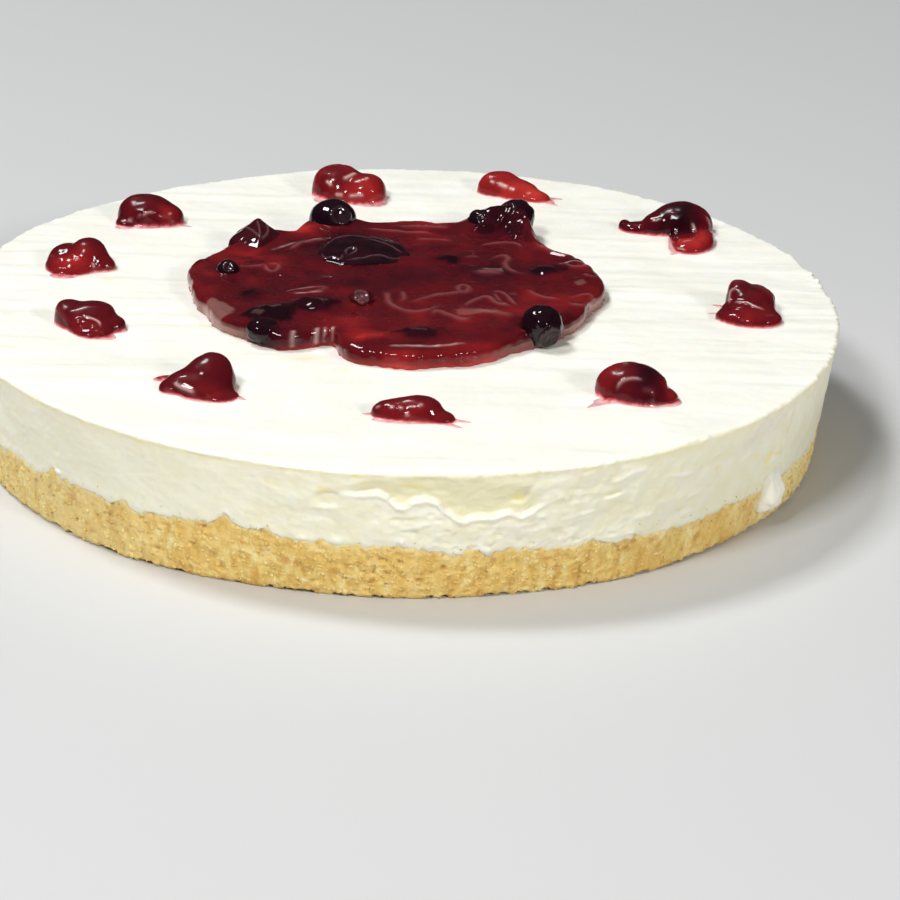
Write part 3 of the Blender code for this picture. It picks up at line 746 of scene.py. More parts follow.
def makeCreamDrop():
    look = creamDrop
    direction = math.radians(look["direction"])
    outward = np.array([math.cos(direction), math.sin(direction), 0])
    along = np.array([-math.sin(direction), math.cos(direction), 0])
    middle = outward * (float(wallRadius(direction, look["level"] * mm)) - 0.0004) + np.array([0, 0, look["level"] * mm])
    a = turns(look["segments"])
    rings = []
    for step in range(1, look["rings"]):
        bend = math.pi * step / look["rings"]
        side, out, up = math.sin(bend) * np.cos(a), math.sin(bend) * np.sin(a), np.full(a.shape, -math.cos(bend))
        swell = 1 + 0.16 * layeredNoise(side * 1.4 + 3, out * 1.4, up * 1.4, 147, 3)
        narrow = 1 - 0.40 * up
        lean = 0.14 * up
        wide = (side * narrow * swell + lean) * look["wide"] * mm
        deep = out * (1 - 0.5 * up) * swell * look["deep"] * mm
        tall = up * swell * look["tall"] * mm
        rings.append(middle + wide[:, None] * along - deep[:, None] * outward + tall[:, None] * np.array([0, 0, 1.0]))
    return ringMesh("creamDrop", rings)


# a lit copy of the cream: a brighter base colour for a drop that sits in shade
wetCreamLit = newMaterial("wetCreamLit", {
    "Base Color": (1.0, 0.965, 0.83, 1), "Roughness": 0.3, "IOR": 1.42, "Subsurface Weight": 0.12,
    "Subsurface Radius": (0.0030, 0.0022, 0.0012), "Subsurface Scale": 1.0})[0]
finishPiece(makeCreamDrop(), wetCreamLit, [])
print("cream drop made")

# ---- gel of the compote, painted thick and thin, shared by the pool and the spoonfuls


def smoothPath(points, rounds=2):
    path = np.array(points, float)
    for _ in range(rounds):
        near = path[:-1] * 0.75 + path[1:] * 0.25
        far = path[:-1] * 0.25 + path[1:] * 0.75
        middle = np.stack([near, far], axis=1).reshape(-1, 2)
        path = np.concatenate([path[:1], middle, path[-1:]])
    return path


def pathHeight(x, y, points, width):
    # 1 on the path, falling to nothing over the width, and thinner towards both ends
    path = smoothPath(points)
    best = np.zeros(x.shape)
    reach = 3 * width
    close = np.nonzero((x > path[:, 0].min() - reach) & (x < path[:, 0].max() + reach)
                       & (y > path[:, 1].min() - reach) & (y < path[:, 1].max() + reach))[0]
    px, py, found = x[close], y[close], np.zeros(len(close))
    count = len(path) - 1
    for n in range(count):
        (x0, y0), (x1, y1) = path[n], path[n + 1]
        dx, dy = x1 - x0, y1 - y0
        along = np.clip(((px - x0) * dx + (py - y0) * dy) / (dx * dx + dy * dy), 0, 1)
        gap = np.hypot(px - x0 - along * dx, py - y0 - along * dy)
        taper = np.minimum(1, 4 * np.minimum(n + along, count - n - along) / count + 0.15)
        found = np.maximum(found, hill(gap, width) * taper)
    best[close] = found
    return best


def gelMaterial():
    material, tree, shader = newMaterial("berryGel", {
        "IOR": 1.45, "Specular IOR Level": 0.26, "Subsurface Weight": 0.30,
        "Subsurface Radius": (0.0040, 0.0006, 0.0004), "Subsurface Scale": 1.0})
    cloud = mathNode(tree, "MULTIPLY", mathNode(tree, "SUBTRACT", noiseNode(tree, 120, 2, 0.5, 0.4), 0.5), 0.22)
    shade = mathNode(tree, "ADD", attributeNode(tree, "shade"), cloud, clamp=True)
    base = rampNode(tree, shade, [(0.0, (0.010, 0.002, 0.004)), (0.25, (0.040, 0.003, 0.007)),
                                  (0.50, (0.105, 0.006, 0.009)), (0.75, (0.250, 0.012, 0.014)),
                                  (1.0, (0.500, 0.040, 0.028))])
    # painted sheen on ridges of the skin
    withPaintedSheen = mixColour(tree, attributeNode(tree, "paintedSheen"), base, (0.28, 0.085, 0.085))
    # pale: partly the thin gel over the cream, partly painted reflections of the cream and on facets
    pale = mixColour(tree, attributeNode(tree, "pale"), withPaintedSheen, (0.38, 0.215, 0.185))
    film = rampNode(tree, attributeNode(tree, "thin"), [(0.0, (0.24, 0.010, 0.02)), (0.55, (0.60, 0.085, 0.11)),
                                                        (1.0, (0.87, 0.46, 0.44))])
    cover = rampNode(tree, attributeNode(tree, "thin"), [(0.05, (0, 0, 0)), (0.60, (1, 1, 1))])
    thin = mixColour(tree, cover, pale, film)
    # gleam: painted highlight lines and glints
    gleaming = mixColour(tree, attributeNode(tree, "gleam"), thin, (0.80, 0.58, 0.54))
    link(tree, gleaming, shader.inputs["Base Color"])
    dulled = mathNode(tree, "ADD", mathNode(tree, "MULTIPLY", attributeNode(tree, "dull"), 0.26), 0.05)
    link(tree, dulled, shader.inputs["Roughness"])
    bumpNode(tree, shader, noiseNode(tree, 420, 2, 0.5), 0.06, 0.0003)
    return material


gel = gelMaterial()

# ---- compote pool in the middle; lengths below are millimetres over the cream

poolLook = {
    "segments": 960, "step": 0.00042, "deep": 5.2, "wall": 0.46, "round": 3.0, "undercut": 0.6,
    "broad": 0.40, "small": 0.15,
    "lobes": [(8, 4.0, 18), (57, 8.5, 10), (104, -4.0, 16), (113, 6.5, 8), (127, -4.0, 5), (172, 3.5, 22),
              (230, -1.5, 8), (229, 1.5, 7), (248, -12.5, 8), (280, 1.2, 14), (318, -1.5, 10)],
    # mounds: east, north, reach east, reach north, height
    "mounds": [(-21.4, 54.9, 10, 9, 2.2), (32.5, 58.5, 8, 6.5, 5.0), (24, 57, 7, 5.5, 3.4), (38, 55, 5, 6, 3.0), (41, 50, 6, 8, 1.4),
               (-43, 39, 9, 8, 1.3), (-49.4, 8, 4.5, 4.5, 1.0), (-12.9, 29.4, 16, 10, 0.8),
               (-10.6, -14.5, 4.6, 4.6, 1.2), (-36.9, -36.9, 5, 4.5, 1.5), (-33.3, -22.4, 6, 5, 1.1),
               (-22.4, -18.1, 6, 4.5, 0.9), (39.9, -30.5, 9, 8, 0.5), (41.4, 15.1, 4.5, 3.6, 0.9),
               (13.7, 23.1, 2.6, 2.4, 0.6), (7.2, -37.4, 6, 4, 0.8), (50.3, 23.6, 3.2, 2.6, 0.7),
               (-58.4, 17.4, 2.4, 2.4, 0.5), (-40.5, -10.2, 2.6, 2.4, 0.4)],
    # ridges of skin under the gel: height, width, then the path
    "ridges": {
        "wave": (0.55, 1.5, [(24.9, 22.2), (27.3, 26.9), (29.9, 28.4), (31.3, 25.3), (29.8, 22.6), (30.4, 16.8),
                             (32.7, 13.8), (38.2, 11.1)]),
        "island": (0.60, 2.6, [(22.2, 13.2), (25.2, 13.6), (28.2, 13.0)]),
        "islet": (0.35, 1.2, [(18.5, 25.5), (22.2, 27.1)]),
        "curl": (0.55, 1.2, [(19.6, -4.1), (18.1, -5.5), (16.4, -3.1), (16.8, 0.2), (18.5, 1.0), (20.0, -1.2),
                             (18.9, -4.2), (13.1, -5.9), (9.8, -6.7), (7.0, -10.0), (3.4, -13.4), (1.3, -13.5)]),
        "hook": (0.45, 1.3, [(0.7, -5.0), (1.6, -9.8), (0.9, -12.9)]),
        "arc": (0.60, 1.3, [(17.0, -20.7), (19.4, -13.3), (22.7, -8.2), (25.2, -7.4), (27.6, -13.9), (30.5, -14.8),
                            (31.7, -14.7)]),
        "loop": (0.55, 1.1, [(26.8, -5.4), (27.6, -2.9), (30.1, -5.1), (31.7, -11.1), (33.4, -14.6)]),
        "loopInner": (0.45, 1.0, [(26.8, -5.4), (28.5, -11.4), (30.1, -14.3)]),
        "right": (0.50, 1.4, [(36.4, 0.3), (38.4, -3.9), (41.3, -6.1), (45.0, -8.2)]),
        "block": (0.65, 1.5, [(-4.6, -6.7), (-3.4, -6.6), (-3.0, -15.1), (-0.6, -18.5), (3.1, -21.8), (8.4, -21.4),
                              (10.0, -17.7), (12.8, -14.4)]),
        "blockFront": (0.55, 1.5, [(9.7, -24.8), (10.5, -21.2), (14.6, -24.5), (17.9, -27.8), (20.3, -26.4)]),
        "shelf": (0.60, 2.4, [(21.5, -20.4), (26.8, -21.1), (31.7, -23.1)]),
        "leaf": (0.55, 1.1, [(47.4, -9.9), (49.6, -6.0), (52.6, -3.3), (55.1, -2.5), (54.1, -8.1), (51.5, -13.2),
                             (48.2, -13.4), (47.4, -9.9)]),
        "backEdge": (0.90, 1.0, [(38.3, 39.7), (42.7, 31.4), (46.1, 29.1), (48.7, 28.0), (52.9, 28.4)]),
        "rightEdge": (0.80, 1.1, [(44.2, 19.2), (48.5, 18.9), (50.6, 17.8), (55.3, 20.8)]),
        "rightGlint": (0.50, 0.9, [(52.5, 12.9), (55.4, 10.0)]),
        "loopLong": (0.45, 1.0, [(-31.9, -8.2), (-27.8, -6.7), (-24.0, -4.0), (-20.1, -3.7), (-23.8, -8.7),
                                 (-29.2, -10.3), (-31.7, -9.4)]),
        "square": (0.60, 1.1, [(-39.1, 16.4), (-35.4, 15.5), (-34.9, 10.7), (-36.6, 8.1), (-38.7, 10.4),
                               (-39.1, 16.4)]),
        "squareTail": (0.45, 1.4, [(-46.4, 10.9), (-43.3, 12.4), (-39.4, 14.0)]),
        "arcBack": (0.60, 1.3, [(-33.0, 28.3), (-30.3, 33.7), (-26.7, 36.3), (-22.6, 37.2)]),
        "backLine": (0.70, 1.1, [(-12, 47.5), (-4, 47.0), (3, 46.2), (9, 45.6)]),
        "backLineTwo": (0.45, 1.4, [(-2, 52.0), (6, 51.5), (14, 51.8)]),
        "backLeft": (0.45, 1.2, [(4, 40.5), (10, 41.0), (15, 39.8)]),
        "backFold": (0.60, 0.9, [(22.8, 36.4), (24.6, 39.0), (29.0, 40.2), (33.8, 37.8), (35.2, 34.0)]),
    },
    # ridges that stay as dark as what is round them, and beads that catch a little light
    "darkRidges": [(0.35, 0.9, [(-5.0, -48.8), (3.7, -48.4), (11.7, -47.6), (21.4, -44.8)]),
                   (0.90, 0.8, [(20.5, 48.0), (22.4, 50.4), (25.0, 49.2), (28.4, 50.6), (30.4, 53.6)]),
                   (0.70, 0.9, [(34.6, 57.0), (37.2, 52.0), (35.8, 45.0), (35.0, 38.5)]),
                   (0.60, 0.8, [(30.6, 43.2), (33.4, 44.8), (34.6, 42.2)]),
                   (0.50, 0.6, [(-36.6, -26.4), (-34.6, -25.4), (-32.4, -26.0)]), (0.45, 0.5, [(-27.6, -17.2), (-25.4, -16.6)]),
                   (0.45, 0.5, [(-22.8, -18.6), (-21.0, -18.0), (-20.4, -19.6)])],
    "beads": [(-28.6, 24.0), (-34.0, 6.0), (-20.0, -30.0), (-2.0, -30.0), (24.0, -34.0), (36.0, -22.0), (48.0, -6.0), (30.0, 34.0),
              (-4.0, -41.0), (46.0, 10.0), (14.0, 8.0), (-28.0, 9.1), (-31.0, 27.4), (-23.6, 1.0), (-8.6, -17.6), (-10.0, -11.2), (-17.1, -12.7), (-14.9, 15.0),
              (-16.6, -4.4), (-42.0, 4.0), (8.0, 30.0), (16.0, 34.0), (-4.0, 12.0), (36.0, 22.0), (-38.0, -3.0)],
    # painted highlight lines along edges of the gel's skin and short painted glints on its side: strength, width, path
    "gleams": [(0.85, 0.35, [(38.2, 47.0), (39.4, 42.1), (42.6, 36.2), (47.2, 33.6), (52.4, 31.4), (54.6, 28.4)]),
               (0.65, 0.30, [(44.8, 20.9), (49.0, 23.2), (53.0, 22.2), (57.6, 20.6)]),
               (0.45, 0.45, [(14.0, 55.2), (20.0, 55.4), (24.5, 58.6)]),
               (0.40, 0.40, [(-38.0, 29.0), (-33.2, 33.6), (-28.5, 36.6), (-23.0, 37.4)]),
               (0.60, 0.35, [(-1.5, -49.0), (5.0, -48.7), (12.0, -47.9), (18.6, -46.0)]),
               (0.80, 0.55, [(-28.2, -38.6), (-28.8, -42.6)]), (0.80, 0.50, [(-21.8, -36.0), (-22.3, -40.4)]),
               (0.70, 0.40, [(-19.6, -35.4), (-20.2, -39.6)]), (0.45, 0.40, [(-17.4, -35.0), (-17.8, -38.6)]),
               (0.40, 0.28, [(-31.9, -8.2), (-27.8, -6.4), (-23.6, -3.8)]),
               (0.40, 0.28, [(-29.2, -10.6), (-24.8, -9.4), (-21.4, -7.4)])],
    # berries sunk under the gel: east, north, radius, rise, darkening
    "sunk": [(-39.1, -27.1, 3.8, 0.8, 0.36), (-34.5, -27.0, 4.6, 1.2, 0.42), (-30.7, -23.6, 3.6, 0.9, 0.38),
             (-26.0, -17.6, 4.0, 1.0, 0.34), (-21.6, -19.4, 3.4, 0.8, 0.34), (-18.5, -16.3, 2.4, 0.6, 0.26),
             (-41.9, -8.8, 1.8, 0.3, 0.26), (41.5, 15.2, 3.6, 0.9, 0.30), (46.0, 19.0, 2.4, 0.5, 0.24),
             (6.0, -40.0, 4.6, 0.8, 0.26), (1.6, -38.6, 3.0, 0.6, 0.22), (13.7, 23.1, 2.2, 0.5, 0.26),
             (51.0, 8.0, 2.2, 0.4, 0.10), (24.0, 50.0, 3.0, 0.6, 0.20), (33.0, 47.0, 3.2, 0.6, 0.14)],
    # facets with a painted pale reflection on the skin: east, north, half length, half width, turn, strength
    "facets": [(-50.6, -21.2, 6.2, 3.2, -54, 0.36), (-35.5, -25.3, 3.2, 0.9, 10, 0.15), (-38.8, -28.6, 1.8, 0.9, -30, 0.13),
               (-27.0, -16.0, 2.8, 0.8, 5, 0.13), (-21.5, -18.0, 1.8, 0.7, -10, 0.14), (41.5, 16.4, 2.2, 0.7, 0, 0.12),
               (-13.0, 36.8, 5.0, 0.7, 4, 0.10), (6.0, -38.6, 2.6, 0.7, 0, 0.10), (31.0, -4.0, 2.0, 1.0, 20, 0.10),
               (26.4, 15.9, 2.8, 1.5, 0, 0.42), (22.0, -20.5, 6.0, 2.0, 8, 0.20),
               (51.4, 6.6, 1.6, 1.2, 30, 0.20)],
    # how pale the foot of its side is, partly the thin gel over the cream and partly a painted reflection of the cream,
    # and where that changes: direction, change, width
    "wallPale": 0.42, "wallTones": [(212, 0.5, 18), (344, 0.55, 15), (236, -0.45, 13), (260, -0.42, 14), (287, -0.40, 18), (229, -0.6, 5)],
    # where the gel is thin and bright, or thick over dark fruit: east, north, reach east, reach north, change
    "tones": [(-30, 45.5, 7, 6, 0.42), (-43, 24.5, 4, 4, 0.28), (-52, 33, 9, 8, 0.10), (-37, 14.5, 5, 4, 0.24), (-55, 12, 8, 9, 0.14),
              (-8, -41, 5, 5, 0.40), (2, -53, 9, 3, 0.26), (28, -47, 12, 4, 0.24), (20, -27, 13, 8, 0.16),
              (45, -6, 12, 9, 0.14), (33, -18, 7, 5, 0.18), (8, 56, 13, 5, 0.28), (-14, -30, 8, 6, 0.12),
              (50, 37, 7, 8, 0.48), (55, 22, 5, 5, 0.15), (5, 42, 9, 5, 0.16), (57, -2, 4, 8, 0.10),
              (-12.9, 29.4, 15, 9, -0.34), (30, 57, 13, 8, -0.42), (-43.3, 39, 8, 6, -0.25), (-4, 5, 15, 9, -0.14),
              (20, 14, 11, 7, -0.20), (-25, -18, 12, 6, -0.14), (-35, -27, 7, 6, -0.18), (41.4, 15.1, 5, 4, -0.14),
              (7.2, -37.4, 7, 4, -0.12), (-37, -38, 6, 5, -0.5), (-49.4, 8, 4.5, 4.5, -0.35),
              (39.9, -30.5, 8, 7, -0.30), (13.7, 23.1, 3, 2.4, -0.30), (50.3, 23.6, 3.4, 2.6, -0.35),
              (-58.4, 17.4, 2.6, 2.6, -0.35), (-40.5, -10.2, 2.6, 2.4, -0.30), (-21.4, 54.9, 9, 7, -0.15),
              (-20, 42, 12, 4, -0.10)],
}
poolCentre = (-1.5, 4.0)


def poolReach(angle):
    reach = 56.0 + 0.5 * np.sin(9 * angle) + 0.4 * np.sin(17 * angle + 1.3) + lobeSum(angle, poolLook["lobes"])
    x, y = np.cos(angle) * 56, np.sin(angle) * 56
    front = smoothStep(0.1, 0.9, np.maximum(-np.sin(angle), 0))
    return reach + 0.22 * softNoise(x / 4.5, y / 4.5, 0, 201) + (0.05 + 0.12 * front) * softNoise(x / 1.8, y / 1.8, 0, 202)


def poolSurface(x, y):
    # height over the cream in millimetres, and how much painted sheen the ridges get
    look = poolLook
    height = look["deep"] + look["broad"] * layeredNoise(x / 13, y / 11, 0, 211, 2)
    warp = 2.2 * softNoise(x / 9, y / 9, 4, 213)
    height = height + look["small"] * layeredNoise((x + warp) / 4.2, (y - warp) / 3.4, 2, 215, 2)
    for east, north, reachEast, reachNorth, rise in look["mounds"]:
        height = height + rise * np.exp(-(((x - east) / reachEast) ** 2) - ((y - north) / reachNorth) ** 2)
    for rise, width, path in look["darkRidges"]:
        height = height + rise * pathHeight(x, y, path, width)
    for east, north in look["beads"]:
        height = height + 0.55 * hill(np.hypot(x - east, y - north), 0.65)
    for east, north, radius, rise, _ in look["sunk"]:
        height = height + rise * np.exp(-((np.hypot(x - east, y - north) / radius) ** 4))
    mass = np.exp(-(((x - 30) / 10) ** 2) - ((y - 53) / 8) ** 2)
    height = height + 0.32 * layeredNoise(x / 2.3, y / 2.3, 9, 217, 2) * mass
    paintedSheen = np.zeros(x.shape)
    for rise, width, path in look["ridges"].values():
        ridge = pathHeight(x, y, path, width)
        height = height + rise * ridge
        # painted sheen along each ridge
        paintedSheen = np.maximum(paintedSheen, ridge**3.5 * min(1, rise / 0.6))
    return height, paintedSheen


def poolMarks(x, y):
    # painted highlight lines, facets with a painted pale reflection, and duller patches of the skin
    gleam, pale = np.zeros(x.shape), np.zeros(x.shape)
    for strength, width, path in poolLook["gleams"]:
        broken = 0.65 + 0.35 * softNoise(x / 1.6, y / 1.6, 0, 241)
        gleam = np.maximum(gleam, strength * pathHeight(x, y, path, width) * broken)
    for east, north, length, width, turn, strength in poolLook["facets"]:
        c, s = math.cos(math.radians(turn)), math.sin(math.radians(turn))
        along = ((x - east) * c + (y - north) * s) / length
        across = ((y - north) * c - (x - east) * s) / width
        rough = 0.16 * softNoise(x / 2.4, y / 2.4, 2, 243)
        pale = np.maximum(pale, strength * smoothStep(1.10, 0.90, np.maximum(np.abs(along), np.abs(across)) + rough))
    dull = 0.35 * smoothStep(-0.2, 0.7, softNoise(x / 7, y / 6, 3, 245))
    return gleam, pale, dull


def poolShade(x, y):
    shade = 0.45 + 0.09 * layeredNoise(x / 6, y / 7, 7, 221, 2)
    x, y = x + 1.8 * softNoise(x / 5, y / 5, 1, 223), y + 1.6 * softNoise(x / 5, y / 5, 6, 224)
    for east, north, radius, _, dark in poolLook["sunk"]:
        shade = shade - dark * smoothStep(1.25, 0.75, np.hypot(x - east, y - north) / radius)
    for east, north, reachEast, reachNorth, change in poolLook["tones"]:
        shade = shade + change * np.exp(-(((x - east) / reachEast) ** 2) - ((y - north) / reachNorth) ** 2)
    return np.clip(shade, 0.02, 1)


def makePool():
    look = poolLook
    rings = []
    layers = {"shade": [], "paintedSheen": [], "pale": [], "thin": [], "dull": [], "gleam": []}

    def add(x, y, z, **values):
        ground = creamHeight((x + poolCentre[0]) * mm, (y + poolCentre[1]) * mm) * smoothStep(3, 0, z)
        rings.append(stacked((x + poolCentre[0]) * mm, (y + poolCentre[1]) * mm, creamTop + ground + z * mm))
        for key, layer in layers.items():
            layer.append(np.broadcast_to(np.asarray(values.get(key, 0), float), x.shape).copy())

    count = look["segments"]
    for share, n in ((0.35, 120), (0.62, 240), (0.82, 480), (0.94, count)):
        a = turns(n)
        reach = poolReach(a) * share
        add(reach * np.cos(a), reach * np.sin(a), np.full(n, -0.1), shade=0.5)
    a = turns(count)
    reach = poolReach(a)
    edgeX, edgeY = reach * np.cos(a) + poolCentre[0], reach * np.sin(a) + poolCentre[1]
    topHeight = poolSurface(edgeX, edgeY)[0]
    shade = poolShade(edgeX, edgeY)
    front = smoothStep(0.45, 0.9, -np.sin(a)) * smoothStep(-0.75, -0.5, np.cos(a))
    wallPale = np.full(count, look["wallPale"])
    for direction, change, width in look["wallTones"]:
        wallPale = wallPale + change * hill(angleBetween(a, direction), math.radians(width))
    wallPale = np.clip(wallPale, 0, 1)
    for row in range(13):
        t = row / 12
        z = -0.1 + t * (look["wall"] * topHeight + 0.1)
        wide = reach - look["undercut"] * (1 - t) ** 2
        rib = softNoise(edgeX / 2.0, edgeY / 2.0, z / 5, 231)
        wide = wide + (0.12 + 0.24 * front) * rib * t
        wide = wide + 0.5 * smoothStep(0.9, 0.0, z) * (0.2 + softNoise(edgeX / 1.7, edgeY / 1.7, 0, 233))
        # partly the thin gel over the cream, partly a painted reflection of the cream, at the foot of the wall
        pale = smoothStep(2.75, 2.35, z + 0.25 * softNoise(edgeX / 3, edgeY / 3, 0, 232)) * wallPale
        lit = shade + 0.30 * front * smoothStep(2.4, 0.4, z)
        # painted glints on the wall where the highlight lines run over it
        bars = poolMarks(wide * np.cos(a) + poolCentre[0], wide * np.sin(a) + poolCentre[1])[0] * smoothStep(0.6, 1.6, z)
        bars = bars * np.clip(0.7 + 0.9 * softNoise(edgeX / 1.1, edgeY / 1.1, z / 1.1, 247), 0, 1)
        add(wide * np.cos(a), wide * np.sin(a), z, shade=np.clip(lit, 0, 1), pale=pale, thin=smoothStep(0.7, 0.0, z) * 0.42,
            gleam=bars)
    inset = 0.0
    n = count
    while True:
        step = look["step"] * 1000 * (count / n)
        inset += step * (0.45 if inset < 3 else 1)
        share = 1 - inset / 56.0
        if n > 120 and share < 0.52 * n / count:
            n //= 2
        if share < 0.012:
            break
        a = turns(n)
        reach = poolReach(a) * share
        x, y = reach * np.cos(a), reach * np.sin(a)
        worldX, worldY = x + poolCentre[0], y + poolCentre[1]
        height, paintedSheen = poolSurface(worldX, worldY)
        gleam, facet, dull = poolMarks(worldX, worldY)
        bend = 1 - min(inset / look["round"], 1)
        rise = look["wall"] + (1 - look["wall"]) * (1 - bend**2.3) ** (1 / 2.3)
        z = height * rise
        rib = softNoise(edgeX[:: count // n] / 2.0, edgeY[:: count // n] / 2.0, z / 5, 231) * smoothStep(2.5, 0, inset)
        worldX = worldX + (0.12 + 0.24 * front[:: count // n]) * rib * np.cos(a)
        worldY = worldY + (0.12 + 0.24 * front[:: count // n]) * rib * np.sin(a)
        # painted reflection at the foot of the wall and on the facets
        pale = np.maximum(smoothStep(2.75, 2.35, z) * wallPale[:: count // n], facet)
        add(worldX - poolCentre[0], worldY - poolCentre[1], z, shade=poolShade(worldX, worldY), paintedSheen=paintedSheen * 0.62,
            pale=pale, gleam=gleam, dull=dull)
    return ringMesh("compotePool", rings, layers)


pool = finishPiece(makePool(), gel, ["compote_pool"])
print("compote pool made:", len(pool.data.polygons), "faces")


# ---- spoonfuls of compote round the top, each a few soft lumps run together


def lumpShares(x, y, lumps, power, blend):
    shares = []
    for east, north, reachEast, reachNorth, turn, _ in lumps:
        c, s = math.cos(math.radians(turn)), math.sin(math.radians(turn))
        along = ((x - east) * c + (y - north) * s) / reachEast
        across = (-(x - east) * s + (y - north) * c) / reachNorth
        shares.append(np.exp(-blend * (np.hypot(along, across) ** power - 1)))
    return shares


def lumpHeight(x, y, lumps, power=2.4, blend=4.0):
    # height of rounded lumps that run together without a crease, found by halving
    shares = lumpShares(x, y, lumps, power, blend)
    rises = [lump[5] for lump in lumps]
    low, high = np.zeros(x.shape), np.full(x.shape, 1.35 * max(rises))
    for _ in range(18):
        middle = (low + high) / 2
        total = sum(share * np.exp(-blend * (middle / rise) ** power) for share, rise in zip(shares, rises))
        low, high = np.where(total > 1, middle, low), np.where(total > 1, high, middle)
    return np.where(sum(shares) > 1, (low + high) / 2, 0)


def lumpReach(angle, lumps, power=2.4, blend=4.0):
    # how far the lumps go out from the middle, at each angle
    far = np.linspace(0.3, 21, 208)[:, None]
    total = sum(lumpShares(np.cos(angle) * far, np.sin(angle) * far, lumps, power, blend))
    last = far[:, 0][len(far) - 1 - np.argmax(total[::-1] > 1, axis=0)]
    reach = np.where((total > 1).any(axis=0), last, 0.3)
    for _ in range(2):
        reach = (np.roll(reach, 1) + 2 * reach + np.roll(reach, -1)) / 4
    return reach


def pathOn(points, path, width):
    # 1 on a path laid over the surface, falling to nothing over the width; all in three dimensions
    found = np.zeros(len(points))
    count = len(path) - 1
    for n in range(count):
        start, step = path[n], path[n + 1] - path[n]
        along = np.clip((points - start) @ step / (step @ step), 0, 1)
        gap = np.linalg.norm(points - start - along[:, None] * step, axis=1)
        taper = np.minimum(1, 3 * np.minimum(n + along, count - n - along) / count + 0.35)
        found = np.maximum(found, hill(gap, width) * taper)
    return found


spoonfulLook = {"segments": 216, "rings": 54, "filmRings": 6, "film": 0.10, "broad": 0.15, "small": 0.045}
